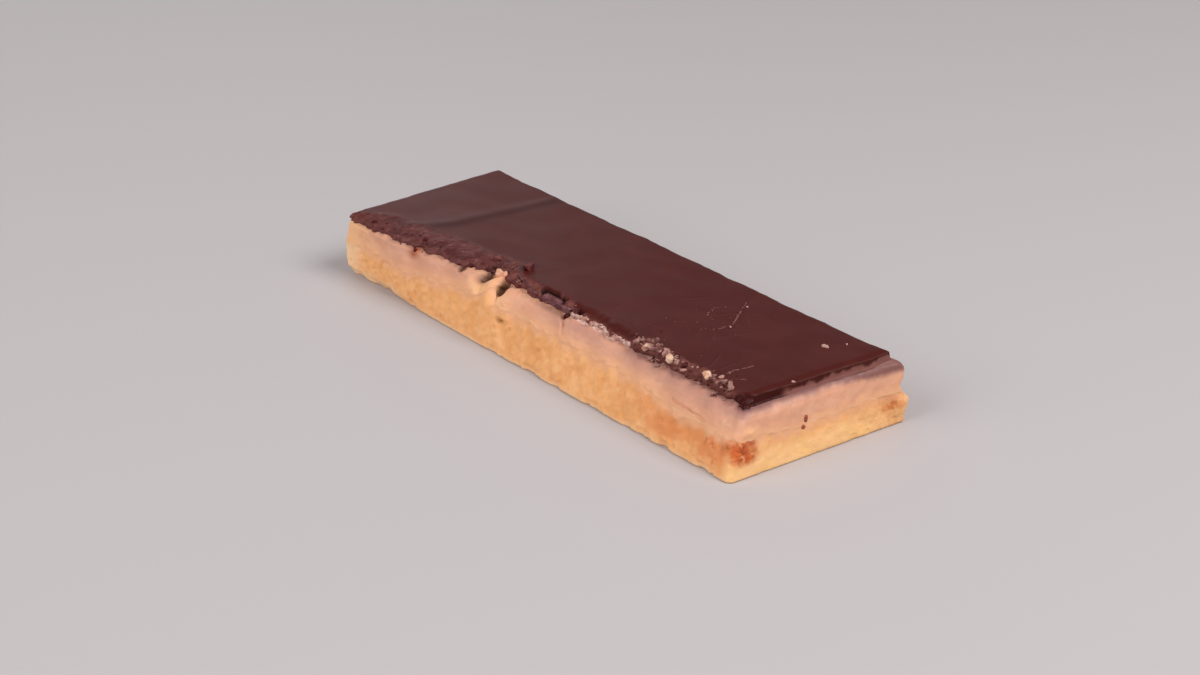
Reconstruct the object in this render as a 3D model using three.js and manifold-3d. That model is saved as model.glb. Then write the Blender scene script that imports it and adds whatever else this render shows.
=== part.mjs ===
// A caramel shortbread bar: a crumbly shortbread base, a soft caramel layer and a thin chocolate top.
// Units are millimetres and +Z is up. The origin is the middle of the bar's underside.
// +X runs along the bar to its cut front end. The broken long side faces -Y.
import * as THREE from 'three';
import Module from 'manifold-3d';
import { mergeVertices } from 'three/addons/utils/BufferGeometryUtils.js';

// Overall size
const LENGTH = 110;
const WIDTH = 38.3;
const HALF_LENGTH = LENGTH / 2;
const HALF_WIDTH = WIDTH / 2;
const FAR_FLANK_Y = HALF_WIDTH - 0.6;

// Heights of the layers in the middle of the bar
const BASE_TOP = 6;
const CARAMEL_TOP = 10.4;
const CHOCOLATE_TOP = 12;
const LAYER_GAP = 0.05;

// How far each side leans in from its foot to the top of the caramel
const NEAR_LEAN = 5.1;
const NEAR_LEAN_FROM_X = -54;
const NEAR_LEAN_FULL_X = -2;
const END_LEAN = 1.6;
const END_SHOULDER = 1.6;
const END_SHOULDER_EASE = 0.55;
const FAR_LEAN = 0.7;
const FAR_SHOULDER = 1.3;
const LEFT_SKEW_AT_FOOT = 0.7;
const LEFT_SKEW_AT_TOP = 1.9;
const LEFT_WEAR = 0.6;
const LEFT_CORNER_WEAR = 1.8;
const FOOT_WEAR = 0.9;
const FOOT_WEAR_X = -41;
const FOOT_WEAR_HALF_LENGTH = 9;
const CORNER_RADIUS = 1.4;
const LEAST_RADIUS = 0.3;
const SHOULDER_FROM_Z = 8.4;
const FAR_SHOULDER_FROM_Z = 8.6;
const SHOULDER_RISE = 2;
const LEAN_TO_Z = 9;

// Bulges and hollows of the sides: [place along, half-length, height, half-height, depth inward]
const NEAR_RELIEF = [
  [-11.5, 3, 7.4, 2, -0.9],
  [-10.4, 1.1, 9.6, 1.3, 1.5],
];
const END_RELIEF = [[HALF_WIDTH - 1.5, 1.8, 3.2, 1.5, -0.7]];
const FAR_RELIEF = [
  [HALF_LENGTH - 1.2, 1.5, 3.4, 1.3, -1.3],
  [52, 2.5, 6.3, 1, 0.5],
];
const NEAR_LIP = 0.25;
const NEAR_CRAGS = 0.3;
const END_CRAGS = 0.15;
const FAR_CRAGS = 0.18;
const LEFT_CRAGS = 0.2;
const FAR_CORNER_ON_END = 0.5;
const FAR_CORNER_ON_FLANK = 0.9;

// The seam between shortbread and caramel, as it shows at the near side and elsewhere
const NEAR_SEAM_Z = 5.6;
const SEAM_RISE_TO_MIDDLE = 1.6;
const SEAM_DROP_TO_FRONT = 1.3;
const SEAM_HUMPS = [
  [-12.3, 2, 2.4],
  [-46, 5, 1.0],
];
const FAR_SEAM_Z = 5.2;
const FAR_SEAM_WAVE = 0.5;
const SEAM_UNEVENNESS = 0.25;
const SEAM_SHELF_INSET = 3;

// Rings round the layers: the foot, the caramel's shoulder and the insets under and over the chocolate
const FOOT_RINGS = [
  [0.7, 0],
  [0.12, 0.35],
];
const SIDE_FROM_Z = 0.6;
const BASE_LEVELS = [0.05, 0.3, 0.55, 0.8, 1];
const CARAMEL_LEVELS = [0.25, 0.5, 0.75];
const SHOULDER_DROP = 0.45;
const LEDGE_DROP = 0.08;
const LEDGE_INSET = 0.25;
const UNDER_CHOCOLATE_INSETS = [0, 1.2, 7];
const CHOCOLATE_BULGE = 0.12;
const CHOCOLATE_TOP_INSETS = [0.12, 0.8, 2.2, 4.5, 7.5];
const CARAMEL_ROUND_WIDTH = 1.2;
const CARAMEL_ROUND_DROP = 0.35;

// How many facets go round the bar
const NEAR_STEPS = 92;
const FAR_STEPS = 56;
const END_STEPS = 28;
const CORNER_STEPS = 4;
const SPINE_STEPS = 22;
const SPINE_HALF_LENGTH = 40;

// The broken edge of the chocolate: [place along the bar, depth of the bite, half-length of the bite]
const EDGE_SETBACK = 0.3;
const FRONT_EDGE_SETBACK = 0.05;
const NEAR_BITES = [
  [-43, 0.5, 1.6],
  [-33.8, 1.2, 0.8],
  [-28.5, 0.6, 1.5],
  [-20.3, 1.1, 0.9],
  [-17.0, 2.0, 2.8],
  [-13.0, 3.0, 1.5],
  [-5.5, 0.6, 1.3],
  [7.4, 1.0, 1.3],
  [11.5, 0.8, 1.8],
  [16.5, 1.1, 3.4],
  [23, 0.5, 1.4],
  [31, 0.5, 1.5],
  [46.2, 0.8, 1.4],
];
const RAGGED_DEPTH = 0.22;
const FAR_CORNER_SETBACK = 0.8;

// The chocolate sags over its near edge at the left half of the bar
const SAG_MIDDLE_X = -31;
const SAG_HALF_LENGTH = 19;
const SAG_WIDTH = 7;
const SAG_DROP = 1.35;
const CARAMEL_SAG_DROP = 0.1;
const EDGE_ROUND_WIDTH = 1.5;
const EDGE_ROUND_DROP = 0.55;

// Between these places along the bar the near edge thins out to a feather
const FEATHER_FROM_X = [5, 9];
const FEATHER_TO_X = [27, 23];
const FEATHER_WIDTH = 2.6;
const FEATHER_DROP = 1.2;
const NEAR_LOW = 0.3;
const TOP_WAVE = 0.12;

// The bent-down front corner of the chocolate starts at a line across the corner
const CHIP_START = [48.6, -13.4];
const CHIP_END = [52.4, -5.8];
const CHIP_WIDTH = 3.2;
const CHIP_DROP = 1.5;

// The slits where flakes have lifted: [x, y, length, width, turn in degrees]
const SLITS = [
  [1.3, -12.1, 6.0, 1.1, 0],
  [9.4, -12.6, 2.6, 0.6, -20],
  [-5.2, -13.1, 8.5, 0.45, -14],
];
const SLIT_DEPTH = 0.9;

// Crumbs and flakes stuck along the broken edge: [x, y, z, radius]
const STUCK_CRUMBS = [
  [-46.5, -16.9, 11.3, 0.9],
  [-40.8, -15.1, 11.2, 1.0],
  [-33.6, -14.6, 11.0, 0.9],
  [-10.4, -8.7, 11.9, 1.1],
  [6.6, -13.6, 11.3, 0.9],
  [27.6, -13.6, 11.5, 0.8],
  [33.0, -13.4, 11.6, 0.95],
  [36.6, -13.0, 11.4, 0.8],
  [40.7, -12.3, 11.6, 1.0],
];

function clamp01(value) {
  return Math.min(1, Math.max(0, value));
}

function smooth(from, to, value) {
  const t = clamp01((value - from) / (to - from));
  return t * t * (3 - 2 * t);
}

function bump(value, middle, halfLength) {
  const t = (value - middle) / halfLength;
  return Math.exp(-t * t);
}

// An uneven run between -1 and 1, as food has
function uneven(a, b, seed) {
  const first = Math.sin(a * 0.83 + seed * 1.7 + 1.3 * Math.sin(b * 0.61 + seed));
  const second = Math.sin(a * 1.91 + b * 1.37 + seed * 2.9);
  const third = Math.sin(a * 3.37 - b * 2.23 + seed * 0.7 + 1.7 * Math.sin(a * 0.9 + b * 1.3));
  return 0.5 * first + 0.3 * second + 0.2 * third;
}

// How far the listed bulges and hollows set a side back
function reliefInset(relief, along, z) {
  let inset = 0;
  for (const [middle, halfLength, height, halfHeight, depth] of relief) {
    inset += depth * bump(along, middle, halfLength) * bump(z, height, halfHeight);
  }
  return inset;
}

// How far a side has rounded over into the top at a height
function shoulder(fromZ, z) {
  return Math.pow(clamp01((z - fromZ) / SHOULDER_RISE), 2);
}

// Height of the seam between shortbread and caramel where it shows at the sides
function seamHeight(x, y) {
  const nearness = smooth(-6, -14, y);
  let nearSeam = NEAR_SEAM_Z + SEAM_RISE_TO_MIDDLE * smooth(-40, -18, x);
  nearSeam -= SEAM_DROP_TO_FRONT * smooth(28, 42, x);
  for (const [middle, halfLength, height] of SEAM_HUMPS) {
    nearSeam += height * bump(x, middle, halfLength);
  }
  const farSeam = FAR_SEAM_Z + FAR_SEAM_WAVE * uneven(x * 0.2, 2, 3);
  return farSeam + (nearSeam - farSeam) * nearness + SEAM_UNEVENNESS * uneven(x, y, 5);
}

// Setback of the near side from its foot, at a place along the bar and a height
function nearInset(x, z) {
  const lean = 0.2 + NEAR_LEAN * smooth(NEAR_LEAN_FROM_X, NEAR_LEAN_FULL_X, x);
  const t = clamp01(z / CARAMEL_TOP);
  const rise = 0.85 * Math.pow(t, 1.15) + 0.15 * shoulder(SHOULDER_FROM_Z, z);
  const foot = FOOT_WEAR * bump(x, FOOT_WEAR_X, FOOT_WEAR_HALF_LENGTH) * Math.pow(clamp01(1 - z / 2.5), 2);
  const lip = NEAR_LIP * bump(x, 42, 5) * smooth(6.6, 6.9, z);
  const crags = NEAR_CRAGS * uneven(x * 0.8, z, 1) * clamp01(z / 4);
  return lean * rise + foot + reliefInset(NEAR_RELIEF, x, z) - lip - crags;
}

function endInset(y, z) {
  const lean = END_LEAN * clamp01(z / LEAN_TO_Z);
  const ease = 1 - END_SHOULDER_EASE * smooth(-10, 16, y);
  const rounding = END_SHOULDER * ease * shoulder(SHOULDER_FROM_Z, z);
  const corner = FAR_CORNER_ON_END * bump(y, HALF_WIDTH, 4) * smooth(4, 8, z);
  const crags = END_CRAGS * uneven(y * 0.5, z * 0.6, 7) * clamp01(z / 1.5) * clamp01(z / 2);
  return lean + rounding + reliefInset(END_RELIEF, y, z) - corner - crags;
}

function farInset(x, z) {
  const lean = FAR_LEAN * clamp01(z / LEAN_TO_Z);
  const rounding = FAR_SHOULDER * shoulder(FAR_SHOULDER_FROM_Z, z);
  const corner = FAR_CORNER_ON_FLANK * bump(x, HALF_LENGTH, 5) * smooth(5, 9, z);
  const crags = FAR_CRAGS * uneven(x * 0.5, z, 11) * clamp01(z / 1.5);
  return lean + rounding + reliefInset(FAR_RELIEF, x, z) - corner - crags;
}

function leftInset(y, z) {
  const nearness = (HALF_WIDTH - y) / WIDTH;
  const skew = LEFT_SKEW_AT_FOOT + (LEFT_SKEW_AT_TOP - LEFT_SKEW_AT_FOOT) * smooth(4.5, 11, z);
  const wear = (LEFT_WEAR + (LEFT_CORNER_WEAR - LEFT_WEAR) * nearness) * Math.pow(clamp01(1 - z / 3), 2);
  const crags = LEFT_CRAGS * uneven(y * 0.5, z * 0.6, 13) * clamp01(z / 1.5);
  return 0.15 + skew * nearness + wear - crags;
}

// Moves a point of the plain box-shaped bar to its place on the real, leaning one
function place(flatX, flatY, z) {
  const alongX = (flatX / HALF_LENGTH + 1) / 2;
  const acrossY = (flatY / HALF_WIDTH + 1) / 2;
  const left = -HALF_LENGTH + leftInset(flatY, z);
  const right = HALF_LENGTH - endInset(flatY, z);
  const x = left + (right - left) * alongX;
  const near = -HALF_WIDTH + nearInset(x, z);
  const far = FAR_FLANK_Y - farInset(x, z);
  return new THREE.Vector3(x, near + (far - near) * acrossY, z);
}

// The stations round the plain bar, counter-clockwise from the near left corner
function perimeterStations() {
  const sides = [
    [-1, -1, 1, -1, NEAR_STEPS],
    [1, -1, 1, 1, END_STEPS],
    [1, 1, -1, 1, FAR_STEPS],
    [-1, 1, -1, -1, END_STEPS],
  ];
  const stations = [];
  sides.forEach(([fromX, fromY, toX, toY, steps], side) => {
    for (let i = 0; i < steps; i += 1) {
      stations.push({ fromX, fromY, toX, toY, t: (i + 0.5) / steps, side, turn: null });
    }
    for (let i = 0; i < CORNER_STEPS; i += 1) {
      const turn = (side - 1) * Math.PI / 2 + (i + 0.5) / CORNER_STEPS * Math.PI / 2;
      stations.push({ toX, toY, side, turn });
    }
  });
  return stations;
}

const STATIONS = perimeterStations();

// A station's place on the plain bar, a distance in from its outline
function flatPoint(station, inset) {
  const a = HALF_LENGTH - inset;
  const b = HALF_WIDTH - inset;
  const r = Math.max(LEAST_RADIUS, CORNER_RADIUS - inset);
  if (station.turn !== null) {
    const x = station.toX * (a - r) + r * Math.cos(station.turn);
    const y = station.toY * (b - r) + r * Math.sin(station.turn);
    return [x, y];
  }
  const { fromX, fromY, toX, toY, t } = station;
  const alongX = fromX !== toX;
  const x = alongX ? (fromX + (toX - fromX) * t) * (a - r) : fromX * a;
  const y = alongX ? fromY * b : (fromY + (toY - fromY) * t) * (b - r);
  return [x, y];
}

// Setback of the chocolate's broken edge from the side of the caramel below it
function edgeSetback(station) {
  const [x, y] = flatPoint(station, 0);
  const nearness = smooth(-HALF_WIDTH + 3, -HALF_WIDTH + 0.5, y);
  let bites = 0;
  for (const [middle, depth, halfLength] of NEAR_BITES) {
    bites += depth * bump(x, middle, halfLength);
  }
  const farCorner = FAR_CORNER_SETBACK * bump(x, HALF_LENGTH, 3.5) * bump(y, HALF_WIDTH, 4);
  const leftness = smooth(-HALF_LENGTH + 2, -HALF_LENGTH, x);
  const frontness = smooth(HALF_LENGTH - 3, HALF_LENGTH - 0.5, x);
  const ragged = RAGGED_DEPTH * (1 + uneven(x * 1.7, y * 1.7, 17) * (0.3 + 0.7 * nearness));
  const plain = EDGE_SETBACK * (1 - 0.8 * leftness) + (FRONT_EDGE_SETBACK - EDGE_SETBACK) * frontness;
  return plain + bites * nearness + farCorner + ragged;
}

// How strongly the near edge sags at a place along the bar, from 0 to 1
function sagStrength(x) {
  return smooth(SAG_MIDDLE_X - SAG_HALF_LENGTH - 4, SAG_MIDDLE_X - SAG_HALF_LENGTH + 6, x)
    * smooth(SAG_MIDDLE_X + SAG_HALF_LENGTH + 3, SAG_MIDDLE_X + SAG_HALF_LENGTH - 5, x);
}

// Height of the seam under the chocolate, a distance in from the side
function caramelHeight(flatX, flatY, inset) {
  const nearness = smooth(-HALF_WIDTH + SAG_WIDTH + 1, -HALF_WIDTH + 1, flatY);
  const sag = CARAMEL_SAG_DROP * sagStrength(flatX) * nearness;
  const rounding = CARAMEL_ROUND_DROP * Math.pow(clamp01(1 - inset / CARAMEL_ROUND_WIDTH), 2);
  return CARAMEL_TOP - sag - rounding;
}

// Height of the chocolate's top face, a distance in from its broken edge
function chocolateHeight(flatX, flatY, fromEdge, point) {
  const nearness = smooth(-HALF_WIDTH + 9, -HALF_WIDTH + 6, flatY);
  const sag = sagStrength(flatX) * nearness;
  const feather = smooth(...FEATHER_FROM_X, flatX) * smooth(...FEATHER_TO_X, flatX) * nearness;
  const width = EDGE_ROUND_WIDTH + (SAG_WIDTH - EDGE_ROUND_WIDTH) * sag
    + (FEATHER_WIDTH - EDGE_ROUND_WIDTH) * feather;
  const drop = EDGE_ROUND_DROP + (SAG_DROP - EDGE_ROUND_DROP) * sag
    + (FEATHER_DROP - EDGE_ROUND_DROP) * feather;
  const along = new THREE.Vector2(CHIP_END[0] - CHIP_START[0], CHIP_END[1] - CHIP_START[1]).normalize();
  const beyond = (point.x - CHIP_START[0]) * along.y - (point.y - CHIP_START[1]) * along.x;
  const chip = CHIP_DROP * smooth(0, CHIP_WIDTH, beyond);
  const low = NEAR_LOW * smooth(10, -HALF_WIDTH, flatY) * smooth(-30, -HALF_LENGTH, flatX);
  const wave = TOP_WAVE * uneven(flatX * 0.12, flatY * 0.2, 19);
  return CHOCOLATE_TOP - drop * Math.pow(clamp01(1 - fromEdge / width), 2) - chip - low + wave;
}

// One ring of points round the bar
function ring(insetAt, heightAt, lift = 0) {
  return STATIONS.map((station, index) => {
    const inset = insetAt(station, index);
    const [flatX, flatY] = flatPoint(station, inset);
    const point = place(flatX, flatY, heightAt(flatX, flatY, inset, index));
    point.z += lift;
    return point;
  });
}

// The spine point that a station's ring point joins to in the middle of a flat cap
function spineIndex(station) {
  const [x] = flatPoint(station, 0);
  return Math.round((clamp01((x / SPINE_HALF_LENGTH + 1) / 2)) * SPINE_STEPS);
}

const SPINE_INDEX = STATIONS.map(spineIndex);

// The points along the middle of a cap, at the mean height of its ring
function spine(loop) {
  const height = loop.reduce((sum, point) => sum + point.z, 0) / loop.length;
  const points = [];
  for (let i = 0; i <= SPINE_STEPS; i += 1) {
    points.push(new THREE.Vector3((2 * i / SPINE_STEPS - 1) * SPINE_HALF_LENGTH, 0, height));
  }
  return points;
}

// Triangles from a ring to its spine; the ring's points start at ringStart and the spine's at spineStart
function capFaces(ringStart, spineStart, turned) {
  const faces = [];
  const add = (a, b, c) => faces.push(...(turned ? [a, c, b] : [a, b, c]));
  for (let i = 0; i < STATIONS.length; i += 1) {
    const next = (i + 1) % STATIONS.length;
    const here = SPINE_INDEX[i];
    const there = SPINE_INDEX[next];
    add(ringStart + i, ringStart + next, spineStart + here);
    if (here !== there) {
      add(ringStart + next, spineStart + there, spineStart + here);
    }
  }
  return faces;
}

// A closed skin over rings that run from the middle of the underside round to the middle of the top.
// The quads of the first strips are split the other way, so that they match the layer below.
function skin(rings, stripsBelow) {
  const count = STATIONS.length;
  const lastRing = (rings.length - 1) * count;
  const underSpine = rings.length * count;
  const topSpine = underSpine + SPINE_STEPS + 1;
  const points = [...rings.flat(), ...spine(rings[0]), ...spine(rings[rings.length - 1])];
  const faces = [];
  for (let level = 0; level + 1 < rings.length; level += 1) {
    for (let i = 0; i < count; i += 1) {
      const a = level * count + i;
      const b = level * count + (i + 1) % count;
      const c = a + count;
      const d = b + count;
      if (level < stripsBelow) {
        faces.push(a, b, c, b, d, c);
      } else {
        faces.push(a, b, d, a, d, c);
      }
    }
  }
  faces.push(...capFaces(0, underSpine, true), ...capFaces(lastRing, topSpine, false));
  const geometry = new THREE.BufferGeometry();
  const positions = points.flatMap((point) => point.toArray());
  geometry.setAttribute('position', new THREE.Float32BufferAttribute(positions, 3));
  geometry.setIndex(faces);
  geometry.computeVertexNormals();
  return geometry;
}

function seamRings(lift) {
  return [
    ring(() => SEAM_SHELF_INSET, () => BASE_TOP, lift),
    ring(() => 0, (x, y) => seamHeight(x, y), lift),
  ];
}

function baseGeometry() {
  const rings = FOOT_RINGS.map(([inset, height]) => ring(() => inset, () => height));
  for (const level of BASE_LEVELS) {
    rings.push(ring(() => 0, (x, y) => SIDE_FROM_Z + (seamHeight(x, y) - SIDE_FROM_Z) * level));
  }
  rings.push(seamRings(0)[0]);
  return skin(rings, 0);
}

// The two rings that caramel and chocolate share under the chocolate, and the chocolate's outline
function underChocolateRings(setbacks, lift) {
  return UNDER_CHOCOLATE_INSETS.map((further) => ring(
    (station, index) => setbacks[index] + further,
    (x, y, inset, index) => caramelHeight(x, y, setbacks[index] + further),
    lift,
  ));
}

function caramelGeometry(setbacks) {
  const rings = seamRings(LAYER_GAP);
  const wallTop = (x, y) => caramelHeight(x, y, 0) - SHOULDER_DROP;
  for (const level of CARAMEL_LEVELS) {
    rings.push(ring(() => 0, (x, y) => {
      const bottom = seamHeight(x, y);
      return bottom + (wallTop(x, y) - bottom) * level;
    }));
  }
  rings.push(ring(() => 0, wallTop));
  rings.push(ring(
    (station, index) => Math.min(LEDGE_INSET, 0.5 * setbacks[index]),
    (x, y) => caramelHeight(x, y, 0) - LEDGE_DROP,
  ));
  rings.push(...underChocolateRings(setbacks, 0));
  return skin(rings, 1);
}

function chocolateGeometry(setbacks) {
  const rings = underChocolateRings(setbacks, LAYER_GAP).reverse();
  rings.push(ring((station, index) => setbacks[index] - CHOCOLATE_BULGE, (x, y, inset, index) => (
    0.5 * (caramelHeight(x, y, setbacks[index]) + chocolateHeight(x, y, 0, place(x, y, CHOCOLATE_TOP)))
  )));
  for (const further of CHOCOLATE_TOP_INSETS) {
    rings.push(ring((station, index) => setbacks[index] + further, (x, y) => (
      chocolateHeight(x, y, further, place(x, y, CHOCOLATE_TOP))
    )));
  }
  return skin(rings, 2);
}

// A thin lens-shaped cutter standing in the chocolate
function slitGeometry([x, y, length, width, turn]) {
  const outline = new THREE.Shape();
  outline.moveTo(-length / 2, 0);
  outline.quadraticCurveTo(0, -width, length / 2, 0);
  outline.quadraticCurveTo(0, width * 0.6, -length / 2, 0);
  const geometry = new THREE.ExtrudeGeometry(outline, { depth: 4, bevelEnabled: false, curveSegments: 6 });
  geometry.rotateZ(THREE.MathUtils.degToRad(turn));
  geometry.translate(x, y, CHOCOLATE_TOP - SLIT_DEPTH);
  return geometry;
}

function toSolid(wasm, geometry) {
  const bare = geometry.clone();
  bare.deleteAttribute('normal');
  bare.deleteAttribute('uv');
  const merged = mergeVertices(bare, 1e-5);
  return new wasm.Manifold(new wasm.Mesh({
    numProp: 3,
    vertProperties: new Float32Array(merged.attributes.position.array),
    triVerts: new Uint32Array(merged.index.array),
  }));
}

function toGeometry(solid) {
  const mesh = solid.getMesh();
  const geometry = new THREE.BufferGeometry();
  geometry.setAttribute('position', new THREE.BufferAttribute(new Float32Array(mesh.vertProperties), 3));
  geometry.setIndex(new THREE.BufferAttribute(new Uint32Array(mesh.triVerts), 1));
  geometry.computeVertexNormals();
  return geometry;
}

function crumbGeometry([x, y, z, radius], index) {
  const geometry = new THREE.IcosahedronGeometry(radius, 0);
  geometry.scale(1.2, 0.9, 0.8);
  geometry.rotateZ(index * 1.3);
  geometry.translate(x, y, z);
  return geometry;
}

// The broken edge in its final state: crumbs stuck on and slits open
async function breakEdge(geometry) {
  const wasm = await Module();
  wasm.setup();
  let solid = toSolid(wasm, geometry);
  STUCK_CRUMBS.forEach((crumb, index) => {
    solid = solid.add(toSolid(wasm, crumbGeometry(crumb, index)));
  });
  for (const slit of SLITS) {
    solid = solid.subtract(toSolid(wasm, slitGeometry(slit)));
  }
  return toGeometry(solid);
}

function food(name, geometry, color, roughness) {
  const material = new THREE.MeshStandardMaterial({ color, roughness, metalness: 0 });
  const mesh = new THREE.Mesh(geometry, material);
  mesh.name = name;
  return mesh;
}

const setbacks = STATIONS.map(edgeSetback);
const bar = new THREE.Group();
bar.add(food('shortbread_base', baseGeometry(), 0xe3a167, 0.85));
bar.add(food('caramel_layer', caramelGeometry(setbacks), 0xd39a7c, 0.55));
bar.add(food('chocolate_top', await breakEdge(chocolateGeometry(setbacks)), 0x5a3330, 0.4));

// The uneven sides are not quite even about the middle, so the bar is set over the origin last
const extent = new THREE.Box3().setFromObject(bar);
const middle = extent.getCenter(new THREE.Vector3());
bar.position.set(-middle.x, -middle.y, -extent.min.z);
bar.updateMatrixWorld(true);

export default bar;
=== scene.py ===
"""A caramel shortbread bar: crumbly shortbread, soft caramel and a thin chocolate top with a broken edge.

The bar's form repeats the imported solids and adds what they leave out: crumb, crags, flakes and stuck crumbs.
Sizes are in millimetres until a mesh is made, and +X, +Y and +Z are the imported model's own.
"""
import logging
import math
from dataclasses import dataclass, field
from enum import Enum
from functools import partial
from typing import Callable, Sequence

import bmesh
import bpy
import numpy as np
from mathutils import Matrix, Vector
from mathutils.bvhtree import BVHTree


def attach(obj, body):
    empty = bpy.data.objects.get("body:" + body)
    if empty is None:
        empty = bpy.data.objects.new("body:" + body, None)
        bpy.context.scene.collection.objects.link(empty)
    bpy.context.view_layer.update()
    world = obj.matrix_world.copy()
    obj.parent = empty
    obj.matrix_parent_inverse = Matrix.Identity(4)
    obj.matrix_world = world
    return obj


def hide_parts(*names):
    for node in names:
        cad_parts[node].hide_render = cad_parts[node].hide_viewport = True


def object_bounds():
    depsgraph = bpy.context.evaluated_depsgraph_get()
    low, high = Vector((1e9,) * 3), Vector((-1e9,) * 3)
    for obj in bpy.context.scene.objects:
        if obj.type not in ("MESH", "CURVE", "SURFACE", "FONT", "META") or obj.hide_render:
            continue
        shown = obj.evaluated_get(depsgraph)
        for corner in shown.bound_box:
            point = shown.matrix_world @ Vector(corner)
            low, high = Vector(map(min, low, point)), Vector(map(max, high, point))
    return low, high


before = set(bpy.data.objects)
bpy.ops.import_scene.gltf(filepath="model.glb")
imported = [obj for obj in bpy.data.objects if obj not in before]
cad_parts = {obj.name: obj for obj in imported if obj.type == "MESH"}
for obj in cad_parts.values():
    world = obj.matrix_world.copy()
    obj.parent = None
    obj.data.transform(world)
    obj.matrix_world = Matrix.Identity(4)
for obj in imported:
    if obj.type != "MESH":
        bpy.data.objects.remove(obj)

LOG = logging.getLogger("caramel_bar")
CAD_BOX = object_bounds()
MM = 0.001
Array = np.ndarray
Height = Callable[[Array, Array], Array]


class Body(Enum):
    """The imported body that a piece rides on."""

    ROOT = "root"


class Slot(Enum):
    """The record's material slots."""

    SHORTBREAD = "shortbread"
    CARAMEL = "caramel"
    CHOCOLATE = "chocolate"


class Side(Enum):
    """The four sides of the bar, in the order in which the stations go round it."""

    NEAR = 0
    FRONT = 1
    FAR = 2
    LEFT = 3


# Numbers and noise


def clamp01(value: Array) -> Array:
    """Returns value held between 0 and 1."""
    return np.clip(value, 0.0, 1.0)


def smooth(start: float, end: float, value: Array) -> Array:
    """A soft step.

    Args:
        start: Where the step is 0.
        end: Where the step is 1; it may be below start.
        value: The places to measure.

    Returns:
        The step's height at each place, from 0 to 1.
    """
    t = clamp01((value - start) / (end - start))
    return t * t * (3.0 - 2.0 * t)


def bump(value: Array, middle: float, half_length: float) -> Array:
    """Returns a bell of height 1 around middle."""
    return np.exp(-(((value - middle) / half_length) ** 2))


def mix(start: Array | float, end: Array | float, share: Array | float) -> Array | float:
    """Returns start where share is 0 and end where it is 1."""
    return start + (end - start) * share


def level(x: Array, y: Array) -> Array:
    """Returns the places at height 0, of shape (..., 3)."""
    return np.stack([x, y, np.zeros_like(x)], axis=-1)


def slow_wave(a: Array, b: Array, seed: float) -> Array:
    """Returns the longest wave of uneven."""
    return 0.5 * np.sin(a * 0.83 + seed * 1.7 + 1.3 * np.sin(b * 0.61 + seed))


def uneven(a: Array, b: Array, seed: float) -> Array:
    """The slow unevenness that the solids also have, of three waves that never line up.

    Args:
        a: First coordinate.
        b: Second coordinate.
        seed: Shifts the pattern.

    Returns:
        Values between -1 and 1.
    """
    second = np.sin(a * 1.91 + b * 1.37 + seed * 2.9)
    third = np.sin(a * 3.37 - b * 2.23 + seed * 0.7 + 1.7 * np.sin(a * 0.9 + b * 1.3))
    return slow_wave(a, b, seed) + 0.3 * second + 0.2 * third


# Large odd numbers and shifts that stir a cell's place until it looks random.
AXIS_MIXERS = (374761393, 668265263, 2147483647)
SEED_MIXER, SEED_START = 974634777, 12345
STIRS = ((13, 1274126177), (16, 2246822519), (15, 1))
RANDOM_STEPS = 0xFFFFFF


def lattice_random(cell: Array, seed: int) -> Array:
    """A repeatable random number for each cell of a grid.

    Args:
        cell: Whole-numbered cell places, of shape (..., 3).
        seed: Chooses the pattern.

    Returns:
        Numbers from 0 to 1, of shape (...).
    """
    c = cell.astype(np.int64).astype(np.uint64)
    h = np.full(c.shape[:-1], seed * SEED_MIXER + SEED_START, np.uint64)
    for axis, mixer in enumerate(AXIS_MIXERS):
        h = h + c[..., axis] * np.uint64(mixer)
    for shift, mixer in STIRS:
        h = (h ^ (h >> np.uint64(shift))) * np.uint64(mixer)
    return (h & np.uint64(RANDOM_STEPS)).astype(float) / RANDOM_STEPS


def value_noise(points: Array, grain: float, seed: int) -> Array:
    """Smooth noise with one wave to about two grains.

    Args:
        points: Places in millimetres, of shape (..., 3).
        grain: Size of a cell in millimetres.
        seed: Chooses the pattern.

    Returns:
        Values from -1 to 1.
    """
    p = points / grain
    cell = np.floor(p)
    t = p - cell
    t = t * t * t * (t * (t * 6.0 - 15.0) + 10.0)
    total = np.zeros(points.shape[:-1])
    for corner in np.ndindex(2, 2, 2):
        offset = np.array(corner, float)
        weight = np.prod(np.where(offset > 0, t, 1.0 - t), axis=-1)
        total += weight * lattice_random(cell + offset, seed)
    return 2.0 * total - 1.0


@dataclass(frozen=True)
class Noise:
    """Noise with finer and finer grains, each half as strong.

    Attributes:
        height: Its height, in millimetres where it shapes a surface.
        grain: Size of the coarsest cell in millimetres.
        octaves: How many grains are added.
        seed: Chooses the pattern.
    """

    height: float
    grain: float
    octaves: int
    seed: int

    def at(self, points: Array) -> Array:
        """The noise at each place.

        Args:
            points: Places in millimetres, of shape (..., 3).

        Returns:
            Values from about -height to height.
        """
        total = np.zeros(points.shape[:-1])
        strengths = [0.5**octave for octave in range(self.octaves)]
        for octave, strength in enumerate(strengths):
            total += strength * value_noise(points, self.grain / 2**octave, self.seed + octave)
        return self.height * (total / sum(strengths))


@dataclass(frozen=True)
class Cells:
    """What is known of the nearest lump at each place.

    Attributes:
        nearest: Distance to its middle in grains.
        offset: The way to its middle in grains.
        draw: A random number of the lump's own.
        other_draw: Another one.
    """

    nearest: Array
    offset: Array
    draw: Array
    other_draw: Array

    @property
    def swell(self) -> Array:
        """How high the lump swells, from 0.5 in its middle down."""
        return 0.5 - self.nearest


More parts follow.
